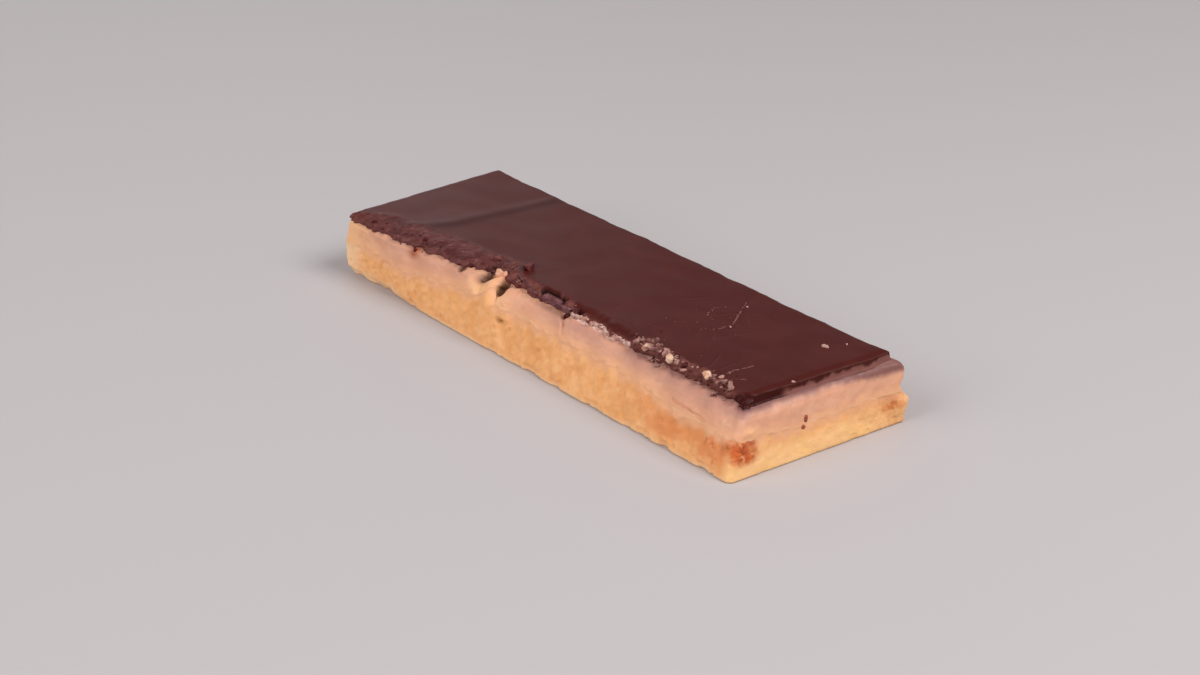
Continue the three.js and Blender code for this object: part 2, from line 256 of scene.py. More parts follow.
@dataclass(frozen=True)
class Crumb:
    """Space packed with lumps, as crumb or a broken face is.

    Attributes:
        grain: Spacing of the lumps in millimetres.
        seed: Chooses the pattern.
    """

    grain: float
    seed: int

    def at(self, points: Array) -> Cells:
        """Finds the lump that is nearest to each place.

        Args:
            points: Places in millimetres, of shape (..., 3).

        Returns:
            What is known of the lumps.
        """
        p = points / self.grain
        cell = np.floor(p)
        nearest = np.full(points.shape[:-1], np.inf)
        offset = np.zeros(points.shape)
        draws = [np.zeros(points.shape[:-1])] * 2
        for step in np.ndindex(3, 3, 3):
            there = cell + (np.array(step, float) - 1.0)
            middle = np.stack([lattice_random(there, self.seed + k) for k in (1, 2, 3)], axis=-1)
            away = there + middle - p
            distance = np.linalg.norm(away, axis=-1)
            closer = distance < nearest
            nearest = np.where(closer, distance, nearest)
            offset = np.where(closer[..., None], away, offset)
            draws = [np.where(closer, lattice_random(there, self.seed + 4 + k), draws[k]) for k in (0, 1)]
        return Cells(nearest, offset, *draws)


@dataclass(frozen=True)
class Stretch:
    """A stretch along the bar with soft ends.

    Attributes:
        rises: Where it starts and where it is full.
        falls: Where it ends and where it is still full.
    """

    rises: tuple[float, float]
    falls: tuple[float, float]

    def at(self, x: Array) -> Array:
        """Returns 1 in the stretch, fading to 0 at its ends."""
        return smooth(*self.rises, x) * smooth(*self.falls, x)


@dataclass(frozen=True)
class Patch:
    """A soft-edged place.

    Attributes:
        middle: Its middle.
        reach: How far it reaches along each axis.
    """

    middle: tuple[float, float, float]
    reach: tuple[float, float, float]

    def at(self, points: Array) -> Array:
        """Returns 1 in the middle, fading to 0 past the reach."""
        return np.exp(-np.sum(((points - np.array(self.middle)) / np.array(self.reach)) ** 2, axis=-1))


@dataclass(frozen=True)
class Crags:
    """The slow unevenness of a surface.

    Attributes:
        height: Its height in millimetres.
        along: How tightly its waves follow each other along the first coordinate.
        up: How tightly they follow each other along the second.
        seed: Shifts the pattern.
    """

    height: float
    along: float
    up: float
    seed: int

    def at(self, a: Array, b: Array) -> Array:
        """Returns its height at each place."""
        return self.height * uneven(a * self.along, b * self.up, self.seed)

    def fine(self, a: Array, b: Array) -> Array:
        """Returns the height of its two finer waves alone."""
        return self.at(a, b) - self.height * slow_wave(a * self.along, b * self.up, self.seed)


@dataclass(frozen=True)
class Dent:
    """A hollow in a side or, with a negative depth, a lump on it.

    Attributes:
        along: Place along the side.
        z: Height.
        half_along: Half-length.
        half_z: Half-height.
        depth: Depth in millimetres.
    """

    along: float
    z: float
    half_along: float
    half_z: float
    depth: float

    def cover(self, along: Array, z: Array) -> Array:
        """Returns 1 in the middle of the dent, fading to 0 round it."""
        return bump(along, self.along, self.half_along) * bump(z, self.z, self.half_z)


@dataclass(frozen=True)
class Ledge:
    """A part of a side that stands out from some height up.

    Attributes:
        along: Its middle along the side.
        half_along: Its half-length.
        z: Heights where it starts and where it is full.
        depth: How far it stands out.
    """

    along: float
    half_along: float
    z: tuple[float, float]
    depth: float

    def at(self, along: Array, z: Array) -> Array:
        """Returns how far it stands out at each place."""
        return self.depth * bump(along, self.along, self.half_along) * smooth(*self.z, z)


# The form of the bar


@dataclass(frozen=True)
class SideForm:
    """What makes a side of the bar uneven.

    Attributes:
        crags: Its slow unevenness.
        crags_over: Heights over which the crags grow out of the straight foot.
        dents: Its hollows and lumps.
        ledges: Its parts that stand out higher up.
    """

    crags: Crags
    crags_over: tuple[float, ...]
    dents: tuple[Dent, ...] = ()
    ledges: tuple[Ledge, ...] = ()

    def inset(self, along: Array, z: Array) -> Array:
        """How far the side stands back for its unevenness.

        Args:
            along: Places along the side.
            z: Heights.

        Returns:
            Distances in millimetres.
        """
        total = -self.crags.at(along, z)
        for height in self.crags_over:
            total = total * clamp01(z / height)
        for dent in self.dents:
            total = total + dent.depth * dent.cover(along, z)
        return total - sum(ledge.at(along, z) for ledge in self.ledges)


@dataclass(frozen=True)
class BarForm:
    """The uneven bar's outer form, the same as its solids have.

    The form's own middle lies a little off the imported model's, so its points move by shift at the end.

    Attributes:
        seam_steps: Rise, start and end of each step in the seam's height along the bar.
        seam_humps: Height, place and half-length of each hump in it.
    """

    length: float = 110.0
    width: float = 38.3
    base_top: float = 6.0
    caramel_top: float = 10.4
    chocolate_top: float = 12.0
    layer_gap: float = 0.05
    corner_radius: float = 1.4
    least_radius: float = 0.3
    shift: tuple[float, float, float] = (-0.173, -0.129, 0.0)

    seam_far: float = 5.2
    seam_near: float = 5.6
    seam_near_from_y: float = -6.0
    seam_near_full_y: float = -14.0
    seam_steps: tuple[tuple[float, float, float], ...] = ((1.6, -40, -18), (-1.3, 28, 42))
    seam_humps: tuple[tuple[float, float, float], ...] = ((2.4, -12.3, 2), (1.0, -46, 5))
    seam_far_waves: Crags = Crags(0.5, 0.2, 1.0, 3)
    seam_waves: Crags = Crags(0.25, 1.0, 1.0, 5)

    shoulder_from: float = 8.4
    shoulder_height: float = 2.0
    lean_height: float = 9.0

    near_least_lean: float = 0.2
    near_lean: float = 5.1
    near_lean_from_x: float = -54.0
    near_lean_full_x: float = -2.0
    near_lean_power: float = 1.15
    near_shoulder_share: float = 0.15
    foot_wear: float = 0.9
    foot_wear_x: float = -41.0
    foot_wear_half_length: float = 9.0
    foot_wear_height: float = 2.5
    near_side: SideForm = SideForm(
        Crags(0.3, 0.8, 1.0, 1),
        (4.0,),
        (Dent(-11.5, 7.4, 3, 2, -0.9), Dent(-10.4, 9.6, 1.1, 1.3, 1.5)),
        (Ledge(42, 5, (6.6, 6.9), 0.25),),
    )

    end_lean: float = 1.6
    end_shoulder: float = 1.6
    end_shoulder_ease: float = 0.55
    end_ease_from_y: float = -10.0
    end_ease_full_y: float = 16.0
    front_end: SideForm = SideForm(
        Crags(0.15, 0.5, 0.6, 7),
        (1.5, 2.0),
        (Dent(17.65, 3.2, 1.8, 1.5, -0.7),),
        (Ledge(19.15, 4, (4, 8), 0.5),),
    )

    far_flank_in: float = 0.6
    far_lean: float = 0.7
    far_shoulder: float = 1.3
    far_shoulder_from: float = 8.6
    far_side: SideForm = SideForm(
        Crags(0.18, 0.5, 1.0, 11),
        (1.5,),
        (Dent(53.8, 3.4, 1.5, 1.3, -1.3), Dent(52, 6.3, 2.5, 1, 0.5)),
        (Ledge(55, 5, (5, 9), 0.9),),
    )

    left_setback: float = 0.15
    left_skew_at_foot: float = 0.7
    left_skew_at_top: float = 1.9
    left_skew_from_z: float = 4.5
    left_skew_full_z: float = 11.0
    left_wear: float = 0.6
    left_corner_wear: float = 1.8
    left_wear_height: float = 3.0
    left_end: SideForm = SideForm(Crags(0.2, 0.5, 0.6, 13), (1.5,))

    @property
    def half_length(self) -> float:
        """Half of the bar's length."""
        return self.length / 2

    @property
    def half_width(self) -> float:
        """Half of the bar's width."""
        return self.width / 2

    def shoulder(self, z: Array, start: float) -> Array:
        """Returns how far each height is up a shoulder that begins at start, from 0 to 1."""
        return clamp01((z - start) / self.shoulder_height) ** 2

    def seam_height(self, x: Array, y: Array) -> Array:
        """The height of the seam between shortbread and caramel where it shows.

        Args:
            x: Places along the bar.
            y: Places across the bar.

        Returns:
            Heights in millimetres.
        """
        near = self.seam_near + sum(rise * smooth(start, end, x) for rise, start, end in self.seam_steps)
        near = near + sum(height * bump(x, middle, half) for height, middle, half in self.seam_humps)
        far = self.seam_far + self.seam_far_waves.at(x, np.full_like(x, 2.0))
        nearness = smooth(self.seam_near_from_y, self.seam_near_full_y, y)
        return mix(far, near, nearness) + self.seam_waves.at(x, y)

    def near_inset(self, x: Array, z: Array) -> Array:
        """How far the broken near side stands back from its foot line.

        Args:
            x: Places along the bar.
            z: Heights.

        Returns:
            Distances in millimetres.
        """
        lean = self.near_least_lean + self.near_lean * smooth(self.near_lean_from_x, self.near_lean_full_x, x)
        slope = clamp01(z / self.caramel_top) ** self.near_lean_power
        rise = mix(slope, self.shoulder(z, self.shoulder_from), self.near_shoulder_share)
        foot = self.foot_wear * bump(x, self.foot_wear_x, self.foot_wear_half_length)
        foot = foot * clamp01(1 - z / self.foot_wear_height) ** 2
        return lean * rise + foot + self.near_side.inset(x, z)

    def end_inset(self, y: Array, z: Array) -> Array:
        """How far the cut front end stands back.

        Args:
            y: Places across the bar.
            z: Heights.

        Returns:
            Distances in millimetres.
        """
        ease = 1 - self.end_shoulder_ease * smooth(self.end_ease_from_y, self.end_ease_full_y, y)
        shoulder = self.end_shoulder * ease * self.shoulder(z, self.shoulder_from)
        return self.end_lean * clamp01(z / self.lean_height) + shoulder + self.front_end.inset(y, z)

    def far_inset(self, x: Array, z: Array) -> Array:
        """Returns how far the far side stands back."""
        shoulder = self.far_shoulder * self.shoulder(z, self.far_shoulder_from)
        return self.far_lean * clamp01(z / self.lean_height) + shoulder + self.far_side.inset(x, z)

    def left_inset(self, y: Array, z: Array) -> Array:
        """How far the left end stands back, which is cut a little askew.

        Args:
            y: Places across the bar.
            z: Heights.

        Returns:
            Distances in millimetres.
        """
        nearness = (self.half_width - y) / self.width
        upper = smooth(self.left_skew_from_z, self.left_skew_full_z, z)
        skew = mix(self.left_skew_at_foot, self.left_skew_at_top, upper) * nearness
        worn = mix(self.left_wear, self.left_corner_wear, nearness)
        wear = worn * clamp01(1 - z / self.left_wear_height) ** 2
        return self.left_setback + skew + wear + self.left_end.inset(y, z)

    def place(self, flat_x: Array, flat_y: Array, z: Array) -> Array:
        """Moves points of a plain box-shaped bar to their places on the real, leaning one.

        Args:
            flat_x: Places along the plain bar.
            flat_y: Places across the plain bar.
            z: Heights.

        Returns:
            The points, of shape (..., 3).
        """
        left = -self.half_length + self.left_inset(flat_y, z)
        right = self.half_length - self.end_inset(flat_y, z)
        x = mix(left, right, (flat_x / self.half_length + 1) / 2)
        near = -self.half_width + self.near_inset(x, z)
        far = self.half_width - self.far_flank_in - self.far_inset(x, z)
        return np.stack([x, mix(near, far, (flat_y / self.half_width + 1) / 2), z], axis=-1)


@dataclass(frozen=True)
class Stations:
    """The places round the bar where the rings of its skins have their points.

    Attributes:
        form: The bar's form.
        spacing: Distance between neighbouring points in millimetres.
        corner_steps: How many points turn each corner.
        facing_fade: Distances from a side where the stations stop and start facing it.
        side: Number of each station's side.
        turn: Angle of each station on a corner; it isn't a number on a side.
        along: Place of each station along its side, from -1 to 1.
    """

    form: BarForm
    spacing: float = 0.21
    corner_steps: int = 10
    facing_fade: tuple[float, float] = (3.0, 0.5)
    side: Array = field(init=False)
    turn: Array = field(init=False)
    along: Array = field(init=False)

    def __post_init__(self) -> None:
        """Lays out the stations counter-clockwise from the near left corner."""
        side: list[float] = []
        turn: list[float] = []
        along: list[float] = []
        quarter = math.pi / 2
        for number, run in enumerate((self.form.length, self.form.width) * 2):
            steps = int(round(run / self.spacing))
            side += [number] * (steps + self.corner_steps)
            along += [2 * (i + 0.5) / steps - 1 for i in range(steps)]
            along += [1.0] * self.corner_steps
            turn += [math.nan] * steps
            turn += [(number - 1 + (i + 0.5) / self.corner_steps) * quarter for i in range(self.corner_steps)]
        object.__setattr__(self, "side", np.array(side, int))
        object.__setattr__(self, "turn", np.array(turn))
        object.__setattr__(self, "along", np.array(along))

    @property
    def count(self) -> int:
        """How many stations go round the bar."""
        return len(self.side)

    @property
    def outline(self) -> tuple[Array, Array]:
        """The stations' places on the plain bar's outline."""
        return self.flat(np.zeros(self.count))

    def facing(self, side: Side) -> Array:
        """How much each station faces one side of the bar.

        Args:
            side: The side.

        Returns:
            Values of 1 along the side, fading to 0 past its corners.
        """
        x, y = self.outline
        along = {Side.FRONT: x, Side.LEFT: -x, Side.NEAR: -y, Side.FAR: y}[side]
        edge = self.form.half_length if side in (Side.FRONT, Side.LEFT) else self.form.half_width
        return smooth(edge - self.facing_fade[0], edge - self.facing_fade[1], along)

    def flat(self, inset: Array) -> tuple[Array, Array]:
        """The stations' places on the plain bar.

        Args:
            inset: Distance in from the plain outline, for each station.

        Returns:
            Places along and across the bar.
        """
        a = self.form.half_length - inset
        b = self.form.half_width - inset
        r = np.maximum(self.form.least_radius, self.form.corner_radius - inset)
        sign_x = np.choose(self.side, [1, 1, -1, -1])
        sign_y = np.choose(self.side, [-1, 1, 1, -1])
        runs_x = (self.side == Side.NEAR.value) | (self.side == Side.FAR.value)
        straight_x = np.where(runs_x, sign_x * self.along * (a - r), sign_x * a)
        straight_y = np.where(runs_x, sign_y * b, sign_y * self.along * (b - r))
        turning = ~np.isnan(self.turn)
        angle = np.where(turning, self.turn, 0.0)
        x = np.where(turning, sign_x * (a - r) + r * np.cos(angle), straight_x)
        y = np.where(turning, sign_y * (b - r) + r * np.sin(angle), straight_y)
        return x, y


@dataclass(frozen=True)
class BrokenEdge:
    """The outline of the chocolate, which is bitten and ragged along the near side.

    Attributes:
        form: The bar's form.
        bites: Place along the bar, depth and half-length of each bite.
    """

    form: BarForm
    setback: float = 0.3
    front_setback: float = 0.05
    left_setback: float = 0.06
    left_reach: float = 2.0
    far_corner_setback: float = 0.8
    far_corner_reach: tuple[float, float] = (3.5, 4.0)
    ragged_depth: float = 0.22
    ragged_waves: Crags = Crags(1.0, 1.7, 1.7, 17)
    ragged_far_share: float = 0.3
    ragged_front_share: float = 0.3
    whole_x: tuple[float, float] = (-12.0, -20.0)
    whole_crumble: float = 0.35
    least_splinters: float = 0.12
    splinters: Noise = Noise(0.42, 1.3, 3, 71)
    chunks: Crumb = Crumb(1.9, 72)
    chunk_depth: float = 0.35
    least_setback: float = 0.02
    bites: tuple[tuple[float, float, float], ...] = (
        (-43, 0.5, 1.6),
        (-33.8, 1.2, 0.8),
        (-28.5, 0.6, 1.5),
        (-20.3, 1.1, 0.9),
        (-17.0, 2.0, 2.8),
        (-13.0, 3.0, 1.5),
        (-5.5, 0.6, 1.3),
        (7.4, 1.0, 1.3),
        (11.5, 0.8, 1.8),
        (16.5, 1.1, 3.4),
        (23, 0.5, 1.4),
        (31, 0.5, 1.5),
        (46.2, 0.8, 1.4),
    )

    def setbacks(self, stations: Stations) -> Array:
        """How far the chocolate ends short of the caramel's side.

        Args:
            stations: The places round the bar.

        Returns:
            A distance in millimetres for each station.
        """
        x, y = stations.outline
        points = level(x, y)
        near, front = stations.facing(Side.NEAR), stations.facing(Side.FRONT)
        depth = sum(deep * bump(x, middle, half) for middle, deep, half in self.bites)
        reach_x, reach_y = self.far_corner_reach
        far_corner = bump(x, self.form.half_length, reach_x) * bump(y, self.form.half_width, reach_y)
        leftness = smooth(-self.form.half_length + self.left_reach, -self.form.half_length, x)
        ragged = 1 + self.ragged_waves.at(x, y) * mix(self.ragged_far_share, 1.0, near)
        ragged = self.ragged_depth * ragged * mix(1.0, self.ragged_front_share, front)
        plain = mix(self.setback, self.left_setback, leftness) + (self.front_setback - self.setback) * front
        plain = plain + depth * near + self.far_corner_setback * far_corner + ragged
        crumbled = near * mix(1.0, self.whole_crumble, smooth(*self.whole_x, x))
        splinters = self.splinters.at(points) * mix(self.least_splinters, 1.0, crumbled)
        splinters = splinters + self.chunk_depth * crumbled * self.chunks.at(points).draw
        return np.maximum(plain + splinters, self.least_setback)


@dataclass(frozen=True)
class LayerHeights:
    """The heights of the chocolate's underside and top face.

    Attributes:
        form: The bar's form.
        sag: Where the near edge sags.
        feather: Where the near edge thins out.
    """

    form: BarForm
    sag: Stretch = Stretch((-54, -44), (-9, -17))
    sag_width: float = 7.0
    sag_drop: float = 1.35
    caramel_sag_drop: float = 0.1
    caramel_round_width: float = 1.2
    caramel_round_drop: float = 0.35
    round_width: float = 1.5
    round_drop: float = 0.55
    feather: Stretch = Stretch((5, 9), (27, 23))
    feather_width: float = 2.6
    feather_drop: float = 1.2
    edge_fade: tuple[float, float] = (9.0, 6.0)
    chip_start: tuple[float, float] = (48.6, -13.4)
    chip_end: tuple[float, float] = (52.4, -5.8)
    chip_bow: float = 1.4
    chip_width: float = 3.2
    chip_drop: float = 1.5
    chip_step_width: float = 0.4
    chip_step_share: float = 0.45
    low_corner_drop: float = 0.3
    low_corner_from: tuple[float, float] = (-30.0, 10.0)
    waves: Crags = Crags(0.12, 0.12, 0.2, 19)

    def caramel(self, flat_x: Array, flat_y: Array, inset: Array | float) -> Array:
        """The top of the caramel.

        Args:
            flat_x: Places along the plain bar.
            flat_y: Places across the plain bar.
            inset: Distance in from the side.

        Returns:
            Heights in millimetres.
        """
        edge = -self.form.half_width
        near = smooth(edge + self.sag_width + 1, edge + 1, flat_y)
        sag = self.caramel_sag_drop * self.sag.at(flat_x) * near
        rounded = self.caramel_round_drop * clamp01(1 - inset / self.caramel_round_width) ** 2
        return self.form.caramel_top - sag - rounded

    def beyond_chip(self, x: Array, y: Array) -> Array:
        """How far a place lies past the line where the front corner bends down.

        Args:
            x: Places along the bar.
            y: Places across the bar.

        Returns:
            Distances in millimetres, below 0 before the line.
        """
        run = np.subtract(self.chip_end, self.chip_start)
        length = float(np.linalg.norm(run))
        run = run / length
        from_x, from_y = x - self.chip_start[0], y - self.chip_start[1]
        along = 2 * (from_x * run[0] + from_y * run[1]) / length - 1
        return from_x * run[1] - from_y * run[0] - self.chip_bow * clamp01(1 - along**2)

    def chocolate(self, flat_x: Array, flat_y: Array, from_edge: Array | float) -> Array:
        """The top face of the chocolate, without its fine relief.

        Args:
            flat_x: Places along the plain bar.
            flat_y: Places across the plain bar.
            from_edge: Distance in from the chocolate's edge.

        Returns:
            Heights in millimetres.
        """
        edge = -self.form.half_width
        near = smooth(edge + self.edge_fade[0], edge + self.edge_fade[1], flat_y)
        sag = self.sag.at(flat_x) * near
        feather = self.feather.at(flat_x) * near
        width = mix(self.round_width, self.sag_width, sag) + (self.feather_width - self.round_width) * feather
        drop = mix(self.round_drop, self.sag_drop, sag) + (self.feather_drop - self.round_drop) * feather
        point = self.form.place(flat_x, flat_y, np.full_like(flat_x, self.form.chocolate_top))
        beyond = self.beyond_chip(point[..., 0], point[..., 1])
        slope, step = smooth(0, self.chip_width, beyond), smooth(0, self.chip_step_width, beyond)
        bend = mix(slope, step, self.chip_step_share)
        low_x, low_y = self.low_corner_from
        low = self.low_corner_drop * smooth(low_y, edge, flat_y)
        low = low * smooth(low_x, -self.form.half_length, flat_x)
        rounded = drop * clamp01(1 - from_edge / width) ** 2
        return self.form.chocolate_top - rounded - self.chip_drop * bend - low + self.waves.at(flat_x, flat_y)


# Meshes


@dataclass
class Skin:
    """Rings of points that wrap a layer, from the middle of its underside round to the middle of its top.

    Attributes:
        stations: The places round the bar.
        points: The rings' points, of shape (rings, stations, 3).
        marks: Named values for the materials, each of shape (rings, stations).
        level_ring: The ring that two layers share, which only moves sideways.
        top_height: Gives the height of the middle of the top, where it isn't flat.
    """

    stations: Stations
    points: Array
    marks: dict[str, Array] = field(default_factory=dict)
    level_ring: int | None = None
    top_height: Callable[[Array], Array] | None = None
    spine_half_length: float = 36.0
    spine_steps: int = 240

    def normals(self) -> Array:
        """Returns the outward direction at each point, which is level at the ring that two layers share."""
        along = np.roll(self.points, -1, axis=1) - np.roll(self.points, 1, axis=1)
        outward = np.cross(along, np.gradient(self.points, axis=0))
        if self.level_ring is not None:
            outward[self.level_ring] = np.cross(along[self.level_ring], np.array([0.0, 0.0, 1.0]))
        return outward / np.maximum(np.linalg.norm(outward, axis=-1, keepdims=True), 1e-9)

    def swell(self, heights: Array) -> None:
        """Moves each point outward by its height, given in millimetres."""
        self.points = self.points + self.normals() * heights[..., None]

    def spine(self, ring: int) -> Array:
        """The points along the middle of a cap, at the mean height of its ring.

        Args:
            ring: Number of the ring, which is the first or the last.

        Returns:
            The points, of shape (steps + 1, 3).
        """
        x = np.linspace(-self.spine_half_length, self.spine_half_length, self.spine_steps + 1)
        height = np.full_like(x, self.points[ring, :, 2].mean())
        points = self.stations.form.place(x, np.zeros_like(x), height)
        if ring and self.top_height is not None:
            points[:, 2] = self.top_height(points)
        return points

    def spine_faces(self, ring: int, spine_start: int, turned: bool) -> list[tuple[int, ...]]:
        """The triangles between a ring and its spine.

        Args:
            ring: Number of the ring.
            spine_start: Number of the spine's first point.
            turned: Whether the cap faces down.

        Returns:
            The triangles, as point numbers.
        """
        spine_x = self.spine(ring)[:, 0]
        mark = np.abs(self.points[ring, :, :1] - spine_x).argmin(axis=1)
        ring_start = ring * self.stations.count
        faces: list[tuple[int, ...]] = []
        for i, here in enumerate(mark):
            following = (i + 1) % self.stations.count
            there = mark[following]
            fan = [(ring_start + i, ring_start + following, spine_start + here)]
            step = 1 if there > here else -1
            for k in range(here, there, step):
                fan.append((ring_start + following, spine_start + k + step, spine_start + k))
            faces += [face[::-1] if turned else face for face in fan]
        return faces

    def build(self, name: str) -> bpy.types.Object:
        """Makes the closed mesh.

        Args:
            name: Name of the piece.

        Returns:
            The new object, linked to the scene.
        """
        rings, count = self.points.shape[:2]
        under, top = self.spine(0), self.spine(rings - 1)
        vertices = np.concatenate([self.points.reshape(-1, 3), under, top])
        here = np.arange((rings - 1) * count).reshape(rings - 1, count)
        following = np.roll(here, -1, axis=1)
        quads = np.stack([here, following, following + count, here + count], axis=-1).reshape(-1, 4)
        faces = [tuple(quad) for quad in quads.tolist()]
        spine_start = rings * count
        faces += self.spine_faces(0, spine_start, turned=True)
        faces += self.spine_faces(rings - 1, spine_start + self.spine_steps + 1, turned=False)
        closest = np.abs(self.points[-1, :, :1] - top[:, 0]).argmin(axis=0)
        marks = {}
        for key, value in self.marks.items():
            marks[key] = np.concatenate([value.ravel(), np.zeros(len(under)), value[-1, closest]])
        return mesh_object(name, vertices, faces, marks)


def mesh_object(
    name: str, vertices: Array, faces: Sequence[Sequence[int]], marks: dict[str, Array] | None = None
) -> bpy.types.Object:
    """Makes a smooth-shaded mesh object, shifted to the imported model's middle and kept inside its box.

    Args:
        name: Name of the piece.
        vertices: Points of the form in millimetres.
        faces: Point numbers of each face.
        marks: Named values for each point, which materials read.

    Returns:
        The new object, linked to the scene.
    """
    placed = np.clip((vertices + np.array(BarForm.shift)) * MM, *np.array(CAD_BOX))
    mesh = bpy.data.meshes.new(name)
    mesh.from_pydata(placed.tolist(), [], faces)
    for key, value in (marks or {}).items():
        mesh.attributes.new(key, "FLOAT", "POINT").data.foreach_set("value", value.astype(np.float32))
    mesh.polygons.foreach_set("use_smooth", [True] * len(mesh.polygons))
    mesh.update()
    return link(name, mesh)


def link(name: str, data: bpy.types.ID) -> bpy.types.Object:
    """Adds an object to the scene.

    Args:
        name: Its name.
        data: Its mesh, light or camera.

    Returns:
        The new object.
    """
    added = bpy.data.objects.new(name, data)
    bpy.context.scene.collection.objects.link(added)
    return added


@dataclass
class RingStack:
    """Collects the rings of a skin from its underside up.

    Attributes:
        form: The bar's form.
        stations: The places round the bar.
        rows: The points of the rings so far.
    """

    form: BarForm
    stations: Stations
    rows: list[Array] = field(default_factory=list)

    def add(self, inset: Array | float, height: Array | float | Height, lift: Array | float = 0.0) -> None:
        """Adds a ring.

        Args:
            inset: Distance in from the plain outline, for each station or for all.
            height: The ring's height, or what gives it from the places along and across the plain bar.
            lift: Raises the placed ring, to leave a gap to the layer beneath.
        """
        x, y = self.stations.flat(np.broadcast_to(inset, self.stations.count))
        z = height(x, y) if callable(height) else height
        points = self.form.place(x, y, np.broadcast_to(z, x.shape))
        points[:, 2] += lift
        self.rows.append(points)

    def points(self) -> Array:
        """Returns the rings' points, of shape (rings, stations, 3)."""
        return np.stack(self.rows)


def shares(count: int) -> Array:
    """Returns the ends of count even steps from 0 to 1."""
    return np.linspace(0, 1, count + 1)[1:]


def segment_distance(a: Array, b: Array, start: Sequence[float], end: Sequence[float]) -> Array:
    """How far places are from a straight line between two points.

    Args:
        a: First coordinate of the places.
        b: Second coordinate of the places.
        start: One end of the line.
        end: The other end.

    Returns:
        Distances in millimetres.
    """
    run = np.subtract(end, start)
    t = clamp01(((a - start[0]) * run[0] + (b - start[1]) * run[1]) / float(run @ run))
    return np.hypot(a - start[0] - t * run[0], b - start[1] - t * run[1])


# Finishes


def linear(colour: str) -> tuple[float, float, float, float]:
    """Turns an sRGB colour such as "#d69c7c" into Blender's linear values."""
    channels = [int(colour[i : i + 2], 16) / 255 for i in (1, 3, 5)]
    values = [c / 12.92 if c <= 0.04045 else ((c + 0.055) / 1.055) ** 2.4 for c in channels]
    return (values[0], values[1], values[2], 1.0)


def add_node(
    tree: bpy.types.NodeTree, kind: str, inputs: dict[str | int, object] | None = None, **settings: object
) -> bpy.types.Node:
    """Adds a node with its settings and links.

    Args:
        tree: The node tree.
        kind: The node's type.
        inputs: A value or a socket for each named or numbered input.
        settings: The node's own settings.

    Returns:
        The new node.
    """
    node = tree.nodes.new(kind)
    for name, value in settings.items():
        setattr(node, name, value)
    for key, value in (inputs or {}).items():
        if isinstance(value, bpy.types.NodeSocket):
            tree.links.new(value, node.inputs[key])
        else:
            node.inputs[key].default_value = value
    return node


def marked(tree: bpy.types.NodeTree, mark: str) -> bpy.types.NodeSocket:
    """Returns the socket with one of the mesh's marks."""
    return add_node(tree, "ShaderNodeAttribute", attribute_name=mark).outputs["Fac"]


def product(tree: bpy.types.NodeTree, first: object, second: object) -> bpy.types.NodeSocket:
    """Returns the socket with the product of two values or sockets."""
    return add_node(tree, "ShaderNodeMath", {0: first, 1: second}, operation="MULTIPLY").outputs[0]


@dataclass(frozen=True)
class Coat:
    """A colour that lies over the one beneath it where a mark or a fine pattern is strong.

    Attributes:
        colour: Its sRGB colour.
        strength: How much it covers at most.
        mark: The mesh's mark that bounds it, or "" for none.
        grain: Size of its patches in millimetres, or 0 for none.
        start: Value of the pattern where it starts to cover.
        full: Value of the pattern where it covers fully.
    """

    colour: str
    strength: float = 1.0
    mark: str = ""
    grain: float = 0.0
    start: float = 0.45
    full: float = 0.6

    def cover(self, tree: bpy.types.NodeTree, place: bpy.types.NodeSocket) -> float | bpy.types.NodeSocket:
        """Makes the value that says where the coat covers.

        Args:
            tree: The node tree.
            place: The object's coordinates.

        Returns:
            The value or the socket with it.
        """
        value: object = self.strength
        if self.mark:
            value = product(tree, marked(tree, self.mark), value)
        if self.grain:
            settings = {"Vector": place, "Scale": 1 / (self.grain * MM), "Detail": 3.0, "Roughness": 0.6}
            noise = add_node(tree, "ShaderNodeTexNoise", settings)
            span = {"Value": noise.outputs["Fac"], "From Min": self.start, "From Max": self.full}
            ranged = add_node(tree, "ShaderNodeMapRange", span, interpolation_type="SMOOTHSTEP")
            value = product(tree, ranged.outputs[0], value)
        return value


